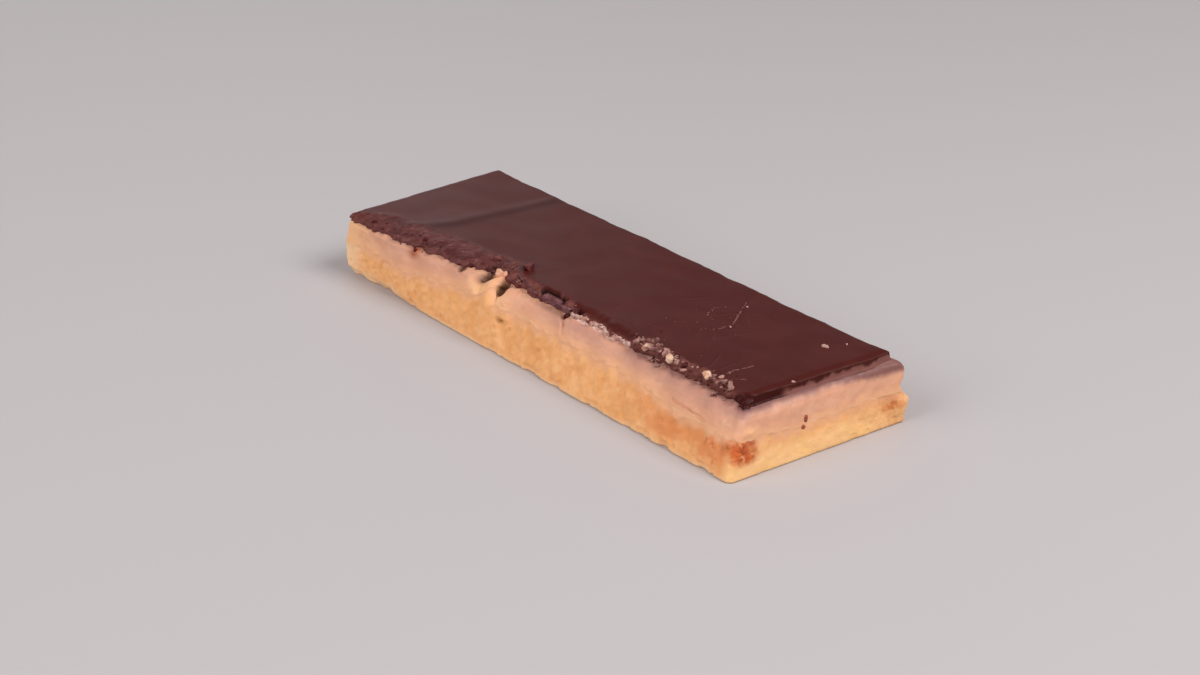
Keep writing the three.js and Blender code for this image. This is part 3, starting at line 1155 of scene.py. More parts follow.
@dataclass(frozen=True)
class Finish:
    """A food surface.

    Attributes:
        name: The material's name.
        colour: sRGB colour under all the coats.
        coats: The colours over it, the lowest first.
        roughness: Roughness of the plain surface.
        rough_mark: The mark where it is rougher.
        rough_there: Roughness there.
        glow: How much light goes through the surface and comes out beside it.
        glow_reach: How far each of red, green and blue goes, in millimetres.
        bump_grain: Size of the finest grain in millimetres.
        bump_height: Height of that grain in millimetres.
        mirror: Strength of the mirror-like part, 0.5 for the usual one.
        ior: How strongly the surface bends light; fats and sugar are all near this.
    """

    name: str
    colour: str
    coats: tuple[Coat, ...]
    roughness: float
    rough_mark: str = ""
    rough_there: float = 0.0
    glow: float = 0.0
    glow_reach: tuple[float, float, float] = (1.0, 0.5, 0.25)
    bump_grain: float = 0.3
    bump_height: float = 0.03
    mirror: float = 0.5
    ior: float = 1.45

    def material(self) -> bpy.types.Material:
        """Makes the material.

        Returns:
            The material.
        """
        material = bpy.data.materials.new(self.name)
        material.use_nodes = True
        tree = material.node_tree
        tree.nodes.clear()
        place = add_node(tree, "ShaderNodeTexCoord").outputs["Object"]
        colour: object = linear(self.colour)
        for coat in self.coats:
            inputs = {0: coat.cover(tree, place), 6: colour, 7: linear(coat.colour)}
            colour = add_node(tree, "ShaderNodeMix", inputs, data_type="RGBA").outputs[2]
        roughness: object = self.roughness
        if self.rough_mark:
            mark = marked(tree, self.rough_mark)
            span = {"Value": mark, "To Min": self.roughness, "To Max": self.rough_there}
            roughness = add_node(tree, "ShaderNodeMapRange", span).outputs[0]
        grain = add_node(tree, "ShaderNodeTexNoise", {"Vector": place, "Scale": 1 / (self.bump_grain * MM)})
        heights = {"Height": grain.outputs["Fac"], "Distance": self.bump_height * MM, "Strength": 1.0}
        relief = add_node(tree, "ShaderNodeBump", heights).outputs[0]
        inputs = {
            "Base Color": colour,
            "Roughness": roughness,
            "Normal": relief,
            "Subsurface Weight": self.glow,
            "Subsurface Radius": self.glow_reach,
            "Subsurface Scale": MM,
            "IOR": self.ior,
            "Specular IOR Level": self.mirror,
        }
        shader = add_node(tree, "ShaderNodeBsdfPrincipled", inputs)
        add_node(tree, "ShaderNodeOutputMaterial", {"Surface": shader.outputs[0]})
        return material


# Baked shortbread is dry and scatters light at once: buttery grains, a deeper gold painted in the hollows
# between them as shade, and a few toasted spots where the cut corner caught the oven's heat.
SHORTBREAD = Finish(
    name="baked shortbread",
    colour="#f0ae72",
    coats=(
        Coat("#f6c08a", 0.45, grain=1.6),
        Coat("#e39c58", 0.5, grain=4.5, start=0.45, full=0.68),
        Coat("#dc844b", 0.85, mark="warm", grain=7.0, start=0.25, full=0.6),
        # Painted shade: deeper gold in the hollows of the crumb's relief.
        Coat("#d58d4f", 0.45, mark="hollow"),
        Coat("#e9ab80", 1.0, mark="seam"),
        # Painted highlight: the foot and the near left end are paler where they catch light reflected from the
        # table; a paler nub at the far front corner as well.
        Coat("#f8cfa4", 0.8, mark="pale"),
        Coat("#8f5d28", 0.9, mark="spot"),
        # Painted light: the lower part of the cut end is painted paler, most at the foot, to stand in for the
        # brighter light there.
        Coat("#fbc88c", 0.75, mark="end"),
        Coat("#f6c27a", 0.5, mark="end", grain=5.0, start=0.45, full=0.6),
        Coat("#cf8048", 0.8, mark="far_toast"),
        Coat("#b5622c", 0.8, mark="far_toast", grain=1.8, start=0.46, full=0.6),
        Coat("#c9632c", 1.0, mark="toast"),
        Coat("#a64418", 0.85, mark="toast", grain=1.6, start=0.44, full=0.62),
        Coat("#eba878", 0.6, mark="toast", grain=1.1, start=0.57, full=0.66),
    ),
    roughness=0.85,
    glow=0.15,
    glow_reach=(0.8, 0.4, 0.2),
    bump_grain=0.28,
    bump_height=0.06,
)

# Set caramel is dense and a little greasy: light goes a millimetre deep, and the chocolate that the knife and
# the break dragged along stains its upper edges. Painted shade darkens it under the chocolate's near edge
# round the middle of the bar and in the pockets under the chocolate.
CARAMEL = Finish(
    name="soft caramel",
    colour="#dda080",
    coats=(
        Coat("#e6b090", 0.6, grain=3.2),
        Coat("#d39474", 0.5, grain=1.6, start=0.5, full=0.68),
        Coat("#e9ab80", 1.0, mark="seam"),
        Coat("#f3b985", 1.0, mark="golden"),
        # Real chocolate smear up the near side and on the front end; round the middle of the near side it also
        # carries painted shade under the chocolate's edge.
        Coat("#ae7c70", 0.8, mark="haze"),
        # The whitish rim on the bare ledge, brightened in part as a painted highlight.
        Coat("#eac8bb", 0.9, mark="rim", grain=0.9, start=0.3, full=0.5),
        Coat("#764644", 0.85, mark="smear"),
        Coat("#a4522f", 0.9, mark="drip"),
        # Painted shade in the pockets under the chocolate's edge.
        Coat("#5f3316", 1.0, mark="pocket"),
    ),
    roughness=0.5,
    glow=0.2,
    glow_reach=(1.0, 0.55, 0.3),
    bump_grain=0.5,
    bump_height=0.03,
)

# Tempered chocolate sets with a satin face, and breaks to a dull, paler grain.
CHOCOLATE = Finish(
    name="set chocolate",
    colour="#481712",
    coats=(
        Coat("#4f1c16", 0.6, grain=7.0),
        # Painted shade: a soft darker band along the crease just before the low ridge.
        Coat("#340e09", 0.7, mark="dip"),
        # Painted sheen: the sagged shoulder is coloured paler and greyer to stand in for the sheen that the
        # set face catches; the two finer coats mottle it.
        Coat("#5f3431", 0.85, mark="band"),
        Coat("#84534f", 0.6, mark="band", grain=1.5, start=0.52, full=0.68),
        Coat("#431a1a", 0.65, mark="band", grain=2.6, start=0.5, full=0.62),
        Coat("#74443f", 0.5, mark="broken"),
        Coat("#8a564e", 0.45, mark="broken", grain=1.6, start=0.4, full=0.62),
        Coat("#41150f", 0.9, mark="rind"),
        # Painted shade: near-black in the open slits and on the shadowed wall at one bite.
        Coat("#1c0907", 0.95, mark="slit"),
        # Painted shade: the bent-down front corner and the front wall below it, darkened where they face away
        # from the light.
        Coat("#3a0c08", 0.95, mark="bent"),
        Coat("#85554e", 0.9, mark="film"),
    ),
    roughness=0.4,
    mirror=0.13,
    rough_mark="broken",
    rough_there=0.72,
    glow=0.04,
    bump_grain=0.45,
    bump_height=0.006,
)

# Splinters show fresh breaks on every side.
SPLINTER = Finish(
    name="broken chocolate",
    colour="#4c231e",
    coats=(Coat("#8a554e", 0.85, grain=1.6),),
    roughness=0.6,
    mirror=0.15,
    bump_grain=0.3,
    bump_height=0.02,
)

# A whole crumb of chocolate is as dark and red as the face, without its sheen.
DARK_CRUMB = Finish(
    name="chocolate crumb",
    colour="#481214",
    coats=(Coat("#6e3330", 0.7, grain=1.0, start=0.5, full=0.62),),
    roughness=0.5,
    mirror=0.2,
    bump_grain=0.3,
    bump_height=0.02,
)

# A flake is thin, paler and cooler than the set face.
FLAKE = Finish(
    name="lifted chocolate flake",
    colour="#5c3335",
    coats=(Coat("#8a5d60", 0.75, grain=1.1), Coat("#451c1b", 0.8, grain=2.2, start=0.52, full=0.62)),
    roughness=0.6,
    mirror=0.15,
    bump_grain=0.3,
    bump_height=0.02,
)

# Loose crumb is shortbread and caramel mixed, paler than the face that it fell from.
CRUMB = Finish(
    name="shortbread crumb",
    colour="#cf9c80",
    coats=(Coat("#eccab0", 0.7, grain=1.3), Coat("#8a5548", 0.7, grain=1.9, start=0.5, full=0.64)),
    roughness=0.85,
    glow=0.35,
    bump_grain=0.25,
    bump_height=0.05,
)

# Crumb that rolled in chocolate dust turns mauve-brown.
RUBBLE = Finish(
    name="stained crumb",
    colour="#8f625a",
    coats=(Coat("#b5877a", 0.85, grain=1.4), Coat("#5a2c28", 0.8, grain=1.8, start=0.5, full=0.62)),
    roughness=0.85,
    glow=0.15,
    bump_grain=0.25,
    bump_height=0.05,
)

# Where the chocolate tore off, the caramel shows a thin rim of whitish grains; their colour is also made
# brighter as a painted highlight, standing in for the light that they catch.
RIM = Finish(
    name="caramel rim, partly painted highlight",
    colour="#bd8474",
    coats=(Coat("#e2b5a6", 0.85, grain=1.4),),
    roughness=0.6,
    glow=0.3,
)

# Bits that were baked into the cut end are burnt sugar brown.
CARAMELISED = Finish(
    name="burnt sugar",
    colour="#9a4c2c",
    coats=(Coat("#6d2b18", 0.6, grain=1.0),),
    roughness=0.5,
)

# Sugar and butter specks catch the light.
SPECK = Finish(name="pale speck", colour="#c59c90", coats=(), roughness=0.7, glow=0.2)

# Finer dust is half chocolate, and only just shows.
DUST = Finish(name="crumb dust", colour="#80534b", coats=(), roughness=0.8)

# A matt card tabletop.
TABLETOP = Finish(name="pale tabletop", colour="#bbb5b5", coats=(), roughness=0.6, bump_height=0.0)


def dress_piece(piece: bpy.types.Object, finish: Finish, slot: Slot, *nodes: str) -> None:
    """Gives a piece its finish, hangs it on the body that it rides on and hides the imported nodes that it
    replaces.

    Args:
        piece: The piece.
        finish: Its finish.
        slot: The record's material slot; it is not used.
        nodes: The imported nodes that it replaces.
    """
    known = bpy.data.materials.get(finish.name)
    piece.data.materials.append(known or finish.material())
    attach(piece, Body.ROOT.value)
    if nodes:
        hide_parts(*nodes)
    LOG.info("%s: %d faces", piece.name, len(piece.data.polygons))


# Layers


@dataclass(frozen=True)
class Seam:
    """The uneven shelf on the shortbread where the caramel sits, which both layers share.

    Attributes:
        form: The bar's form.
        insets: Distances in from the side, from the visible seam inward.
        ragged: The crumbly unevenness of the visible seam.
        shared: The relief that both layers have at it, which lies shared_depth deep.
        blend_height: How far from the seam each layer's own relief is full.
        edge: Distance of each layer's last ring from it.
    """

    form: BarForm
    insets: tuple[float, ...] = (0.0, 0.5, 1.2, 2.1, 3.0)
    ragged: Noise = Noise(0.22, 1.7, 3, 31)
    shared: Noise = Noise(0.08, 1.4, 2, 33)
    shared_depth: float = 0.03
    blend_height: float = 0.55
    edge: float = 0.02

    def line(self, stations: Stations) -> Array:
        """Returns the height of the visible seam at each station."""
        x, y = stations.outline
        return self.form.seam_height(x, y) + self.ragged.at(level(x, y))

    def shelf(self, stations: Stations, inset: float) -> Array:
        """Returns the height of the shelf at each station, some distance in from the side."""
        return mix(self.line(stations), self.form.base_top, inset / self.insets[-1])

    def join(self, points: Array, relief: Array, from_seam: Array) -> Array:
        """Brings a layer's relief to the one shared with its neighbour as it nears the seam.

        Args:
            points: The layer's points.
            relief: The layer's own relief.
            from_seam: Height above or below the seam.

        Returns:
            The joined relief.
        """
        share = clamp01(1 - np.abs(from_seam) / self.blend_height) ** 2
        return mix(relief, self.shared.at(points) - self.shared_depth, share)


@dataclass
class Layer:
    """What the three layers have in common.

    Attributes:
        form: The bar's form.
        stations: The places round the bar.
    """

    form: BarForm
    stations: Stations

    @property
    def near(self) -> Array:
        """How much each station faces the broken near side, from 0 to 1."""
        return self.stations.facing(Side.NEAR)

    @property
    def front(self) -> Array:
        """How much each station faces the cut front end, from 0 to 1."""
        return self.stations.facing(Side.FRONT)


@dataclass
class ShortbreadBase(Layer):
    """The crumbly baked base, which the knife pressed smoother at the front end.

    Attributes:
        seam: The shelf that it ends in.
        foot: Inset and height of the rings that round its foot.
        side_rings: How many rings go up its side.
        dents: Its hollows and lumps; the first is a dark spot.
    """

    seam: Seam
    foot: tuple[tuple[float, float], ...] = ((0.7, 0.0), (0.4, 0.03), (0.2, 0.14), (0.08, 0.33), (0.01, 0.6))
    side_rings: int = 44
    crumble: Noise = Noise(0.95, 2.4, 3, 18)
    crumble_height: float = 1.5
    front_crumble_share: float = 0.2
    swells: Noise = Noise(0.16, 4.5, 2, 11)
    crumb: Crumb = Crumb(1.3, 12)
    crumb_height: float = 0.20
    pit_depth: float = 0.30
    pit_draws: tuple[float, float] = (0.80, 0.95)
    pit_reach: tuple[float, float] = (0.55, 0.1)
    grains: Crumb = Crumb(0.55, 15)
    grain_height: float = 0.07
    toasted_grain_gain: float = 2.0
    toasted_crust: Noise = Noise(0.35, 0.9, 2, 16)
    front_roughness: float = 0.55
    sunk: float = 0.08
    foot_fade: float = 0.7
    dents: tuple[Dent, ...] = (
        Dent(-7.6, 5.4, 0.8, 0.35, 0.5),
        Dent(-16.5, 8.2, 1.6, 1.1, -0.35),
        Dent(-11.6, 7.7, 1.8, 1.3, -0.3),
        Dent(-14.3, 7.4, 0.6, 1.2, 0.3),
        Dent(49.6, 2.4, 0.5, 0.25, 0.3),
        Dent(40.5, 4.6, 4.0, 0.7, 0.2),
    )
    toast: Patch = Patch((54.2, -15.8, 4.4), (3.4, 3.0, 2.2))
    speckle: Patch = Patch((49.5, -18.0, 3.8), (2.6, 3.0, 2.6))
    speckle_strength: float = 0.6
    far_toast: Patch = Patch((54.4, 15.6, 3.4), (2.0, 2.8, 0.9))
    halo: Patch = Patch((54.4, 15.6, 3.4), (2.0, 7.0, 7.0))
    halo_strength: float = 0.35
    nub: Patch = Patch((55.0, 18.8, 3.4), (1.6, 1.4, 1.8))
    blotches: Noise = Noise(1.0, 1.5, 3, 17)
    speckles: Noise = Noise(1.0, 1.1, 2, 19)
    seam_wander: Noise = Noise(0.7, 1.8, 3, 35)

    @property
    def seam_ring(self) -> int:
        """The number of the ring that it shares with the caramel."""
        return len(self.foot) + self.side_rings

    def rings(self) -> Array:
        """Returns the rings of the smooth skin, from the foot up the side and in over the shelf."""
        stack = RingStack(self.form, self.stations)
        crumbled = clamp01(self.crumble.at(level(*self.stations.outline)))
        crumbled = crumbled * mix(1.0, self.front_crumble_share, self.front)
        for inset, height in self.foot:
            stack.add(inset + crumbled, height)
        start = self.foot[-1][1]
        line = self.seam.line(self.stations)
        for share in shares(self.side_rings)[:-1]:
            height = mix(start, line, share)
            stack.add(crumbled * smooth(self.crumble_height, start, height), height)
        stack.add(0.0, line - self.seam.edge)
        for inset in self.seam.insets:
            stack.add(inset, self.seam.shelf(self.stations, inset))
        return stack.points()

    def toasted(self, points: Array) -> tuple[Array, Array]:
        """How toasted the two front corners are.

        Args:
            points: Places on the smooth skin.

        Returns:
            The toasting round the near corner and round the far one, from 0 to 1.
        """
        blotch = self.blotches.at(points)
        near = smooth(0.1, 0.95, self.toast.at(points) * (1 + 0.9 * blotch))
        speckle = self.speckle.at(points) * smooth(0.15, 0.45, self.speckles.at(points))
        far = self.far_toast.at(points)
        far = smooth(0.1, 0.9, far + 0.4 * blotch * (far > 0.05))
        far = np.maximum(far, self.halo_strength * self.halo.at(points))
        return np.maximum(near, self.speckle_strength * speckle), far

    def relief(self, points: Array, toast: Array) -> Array:
        """The crumb of the broken sides.

        Args:
            points: Places on the smooth skin.
            toast: How toasted each place is.

        Returns:
            Heights in millimetres, outward.
        """
        crumb, grains = self.crumb.at(points), self.grains.at(points)
        pit = smooth(*self.pit_draws, crumb.draw) * smooth(*self.pit_reach, crumb.nearest)
        height = self.swells.at(points) + self.crumb_height * crumb.swell - self.pit_depth * pit
        height = height + self.grain_height * grains.swell * (1 + self.toasted_grain_gain * toast)
        height = height + toast * self.toasted_crust.at(points)
        for dent in self.dents:
            height = height - dent.depth * dent.cover(points[..., 0], points[..., 2]) * self.near
        rough = mix(1.0, self.front_roughness, self.front * (1 - toast))
        return (height * rough - self.sunk) * smooth(0.0, self.foot_fade, points[..., 2])

    def marks(
        self, points: Array, toasts: tuple[Array, Array], relief: Array, from_seam: Array
    ) -> dict[str, Array]:
        """What the finish needs to know about each place.

        Args:
            points: Places on the smooth skin.
            toasts: How toasted they are, round the near corner and round the far one.
            relief: Their heights outward.
            from_seam: Height below the seam, as a negative number.

        Returns:
            The marks by name.
        """
        x, z = points[..., 0], points[..., 2]
        near, front = self.near, self.front
        blotch = self.blotches.at(points)
        toast, far_toast = toasts
        # The near left end, a nub at the far front corner, the foot all round and a band along the near left
        # foot; all but the nub are painted highlight, the foot catching light from the table.
        pale = (
            near * smooth(-46, -53, x),
            self.nub.at(points),
            (0.7 - 0.3 * front) * smooth(1.0, 0.1, z),
            0.9 * smooth(-30, -44, x) * smooth(2.6, 0.9, z + 0.5 * blotch),
        )
        return {
            "toast": toast,
            "far_toast": far_toast,
            "pale": np.maximum.reduce(pale),
            "warm": near * smooth(24, 40, x) * smooth(0.8, 2.5, z),
            "spot": near * self.dents[0].cover(x, z),
            # The lower part of the cut end, painted paler to stand in for the brighter light near the foot.
            "end": front * smooth(4.6, 2.2, z + 0.6 * blotch),
            # Painted shade in the hollows of the relief.
            "hollow": smooth(0.0, -0.28, relief),
            "seam": smooth(-1.8, -0.05, from_seam + self.seam_wander.at(points) * (from_seam < 0)),
        }

    def build(self) -> bpy.types.Object:
        """Makes the layer.

        Returns:
            The piece.
        """
        points = self.rings()
        shelf = slice(self.seam_ring + 1, None)
        from_seam = points[..., 2] - points[self.seam_ring, :, 2]
        from_seam[shelf] = 0.0
        toasts = self.toasted(points)
        relief = self.seam.join(points, self.relief(points, toasts[0]), from_seam)
        relief[shelf] = 0.0
        marks = self.marks(points, toasts, relief, from_seam)
        skin = Skin(self.stations, points, marks, level_ring=self.seam_ring)
        skin.swell(relief)
        return skin.build("shortbread_base.skin")

    def dress(self, piece: bpy.types.Object) -> None:
        """Gives the layer its finish and its place."""
        dress_piece(piece, SHORTBREAD, Slot.SHORTBREAD, "shortbread_base")


@dataclass
class CaramelLayer(Layer):
    """The soft caramel, with smooth broken sides and a crumbly rim where the chocolate came off.

    Attributes:
        seam: The shelf that it sits on.
        heights: Gives its top.
        setbacks: How far in the chocolate starts, for each station.
        dents: Its hollows and lumps; the first three are pockets under the chocolate, darkened with painted
            shade.
        fissures: Both ends of each crack, as places along the bar and heights.
        under_chocolate: Distances in from the chocolate's edge of the rings under it.
    """

    seam: Seam
    heights: LayerHeights
    setbacks: Array
    side_rings: int = 28
    shoulder_drop: float = 0.45
    shoulder_width: float = 0.25
    shoulder_angles: tuple[float, ...] = (30, 60, 90)
    ledge_drop: float = 0.08
    ledge_rings: int = 8
    bare_setbacks: tuple[float, float] = (0.5, 1.2)
    under_chocolate: tuple[float, ...] = (1.2, 7.0)
    swells: Noise = Noise(0.10, 5.0, 3, 22)
    streaks: Noise = Noise(0.05, 1.1, 2, 21)
    streak_stretch: float = 0.22
    far_streak_share: float = 0.4
    ripples: Noise = Noise(0.05, 0.9, 2, 23)
    smoothed_crags: float = 0.8
    torn: Stretch = Stretch((-24, -19), (-6, -9))
    torn_crumb: Crumb = Crumb(1.8, 24)
    torn_height: float = 0.22
    rim_crumb: Crumb = Crumb(0.75, 25)
    rim_height: float = 0.30
    rim_unevenness: float = 0.25
    dents: tuple[Dent, ...] = (
        Dent(-21.2, 10.3, 0.6, 0.6, 0.6),
        Dent(-15.7, 10.2, 1.0, 0.95, 1.2),
        Dent(-10.6, 9.6, 0.75, 1.3, 1.4),
        Dent(-13.0, 10.6, 1.1, 1.2, -0.6),
        Dent(-17.3, 9.0, 1.9, 1.4, -0.45),
        Dent(-15.2, 8.2, 0.5, 1.4, 0.35),
        Dent(-10.6, 8.3, 1.3, 0.5, -0.3),
    )
    fissures: tuple[tuple[tuple[float, float], tuple[float, float]], ...] = (
        ((6.1, 10.2), (7.4, 9.3)),
        ((7.4, 9.3), (8.1, 8.0)),
        ((37.8, 7.3), (42.0, 7.0)),
        ((42.0, 7.0), (45.6, 6.6)),
    )
    fissure_depth: float = 0.4
    fissure_half_width: float = 0.22
    corner_lump: Patch = Patch((53.6, -13.9, 7.0), (2.0, 1.1, 0.7))
    corner_lump_height: float = 0.3
    sunk: float = 0.06
    stained_right: tuple[float, float] = (16.0, 26.0)
    stained_left: Stretch = Stretch((-52, -46), (-14, -22))
    blotches: Noise = Noise(1.0, 1.6, 3, 41)
    seam_wander: Noise = Noise(0.7, 1.8, 3, 36)

    def rings(self) -> Array:
        """Returns the rings of the smooth skin, from the shelf out, up the side and in to the chocolate."""
        stack = RingStack(self.form, self.stations)
        for inset in self.seam.insets[::-1]:
            lift = self.form.layer_gap * inset / self.seam.insets[-1]
            stack.add(inset, self.seam.shelf(self.stations, inset), lift)
        edge = self.heights.caramel(*self.stations.outline, 0.0)
        wall_top = edge - self.shoulder_drop
        line = self.seam.line(self.stations)
        stack.add(0.0, line + self.seam.edge)
        for share in shares(self.side_rings):
            stack.add(0.0, mix(line, wall_top, share))
        shoulder = np.minimum(self.shoulder_width, 0.5 * self.setbacks)
        ledge_start = edge - self.ledge_drop
        for angle in np.radians(self.shoulder_angles):
            stack.add(shoulder * (1 - math.cos(angle)), mix(wall_top, ledge_start, math.sin(angle)))
        chocolate_start = self.heights.caramel(*self.stations.flat(self.setbacks), self.setbacks)
        for share in shares(self.ledge_rings):
            stack.add(mix(shoulder, self.setbacks, share), mix(ledge_start, chocolate_start, share))
        for inward in self.under_chocolate:
            inset = self.setbacks + inward
            stack.add(inset, partial(self.heights.caramel, inset=inset))
        return stack.points()

    def relief(self, points: Array, rim: Array) -> Array:
        """The waves, drag streaks, hollows and crumbly rim of the sides.

        Args:
            points: Places on the smooth skin.
            rim: 1 on the ledge where the chocolate came off.

        Returns:
            Heights in millimetres, outward.
        """
        x, z = points[..., 0], points[..., 2]
        near = self.near
        streaks = self.streaks.at(points * np.array([self.streak_stretch, 1.0, 1.0]))
        streaks = streaks * mix(self.far_streak_share, 1.0, near)
        height = self.swells.at(points) + streaks + self.ripples.at(points)
        height = height + self.corner_lump_height * self.corner_lump.at(points)
        height = height - self.smoothed_crags * near * self.form.near_side.crags.fine(x, z)
        height = height + self.torn_height * near * self.torn.at(x) * self.torn_crumb.at(points).swell
        grains = self.rim_crumb.at(points)
        grainy = self.rim_height * grains.swell + self.rim_unevenness * (grains.draw - 0.5)
        height = height + rim * near * grainy
        for dent in self.dents:
            height = height - dent.depth * dent.cover(x, z) * near
        for start, end in self.fissures:
            away = segment_distance(x, z, start, end)
            height = height - self.fissure_depth * near * bump(away, 0.0, self.fissure_half_width)
        return height - self.sunk

    def marks(self, points: Array, from_seam: Array) -> dict[str, Array]:
        """What the finish needs to know about each place.

        Args:
            points: Places on the smooth skin.
            from_seam: Height above the seam.

        Returns:
            The marks by name.
        """
        x, z = points[..., 0], points[..., 2]
        near, front = self.near, self.front
        blotch = self.blotches.at(points)
        far_corner = smooth(4.0, 14.0, points[..., 1])
        end_smear = front * smooth(9.3 - 1.3 * far_corner, 10.2 - 1.0 * far_corner, z + 0.3 * blotch)
        stained = np.maximum(smooth(*self.stained_right, x), 0.5 * self.stained_left.at(x))
        # The stained stretches, plus painted shade under the chocolate's near edge round the middle of the
        # bar.
        shaded = np.maximum(stained, 0.8 * bump(x, 12.0, 11.0))
        side_smear = near * smooth(9.9, 10.5, z + 0.4 * blotch) * stained
        haze = near * smooth(7.8, 10.2, z + 0.5 * blotch) * shaded
        haze = haze + front * smooth(8.5 - 1.0 * far_corner, 10.3, z + 0.4 * blotch)
        gold_end = smooth(-40, -53, x + 3.0 * blotch)
        golden = near * np.maximum(gold_end, bump(x, -13.5, 5.0) * smooth(10.4, 8.6, z))
        return {
            # Chocolate smear and, round the middle of the near side, painted shade.
            "haze": clamp01(haze),
            "golden": np.maximum(golden, self.corner_lump.at(points)),
            "smear": clamp01(end_smear + 0.75 * side_smear),
            "drip": near * bump(x + 0.25 * (z - 9.0), -33.2, 1.3) * smooth(8.3, 9.6, z + 0.3 * blotch),
            # Painted shade in the first three dents, the pockets under the chocolate.
            "pocket": near * clamp01(1.4 * sum(dent.cover(x, z) for dent in self.dents[:3])),
            "seam": smooth(1.9, 0.1, from_seam + self.seam_wander.at(points)),
        }

    def build(self) -> bpy.types.Object:
        """Makes the layer.

        Returns:
            The piece.
        """
        points = self.rings()
        seam_ring = len(self.seam.insets) - 1
        ledge_ring = seam_ring + 1 + self.side_rings + len(self.shoulder_angles)
        last = ledge_ring + self.ledge_rings
        ring = np.arange(len(points))[:, None]
        from_seam = np.where(ring <= seam_ring, 0.0, points[..., 2] - points[seam_ring, :, 2])
        bare = smooth(*self.bare_setbacks, self.setbacks)
        rim = bare * clamp01((ring - ledge_ring) / 3) * clamp01((last - ring) / 1.5)
        relief = self.seam.join(points, self.relief(points, rim), from_seam) * clamp01((last - ring) / 2)
        relief[:seam_ring] = 0.0
        skin = Skin(self.stations, points, self.marks(points, from_seam), level_ring=seam_ring)
        feather = self.heights.feather.at(points[..., 0]) * self.near
        # The whitish rim, brightened in part as a painted highlight.
        skin.marks["rim"] = bare * feather * clamp01((ring - last + 5) / 2)
        skin.swell(relief)
        return skin.build("caramel_layer.skin")

    def dress(self, piece: bpy.types.Object) -> None:
        """Gives the layer its finish and its place."""
        dress_piece(piece, CARAMEL, Slot.CARAMEL, "caramel_layer")


@dataclass(frozen=True)
class Slit:
    """An opening in the chocolate's face.

    Attributes:
        start: One end.
        end: The other end.
        width: Its width in millimetres.
        depth: How far it cuts down.
    """

    start: tuple[float, float]
    end: tuple[float, float]
    width: float
    depth: float


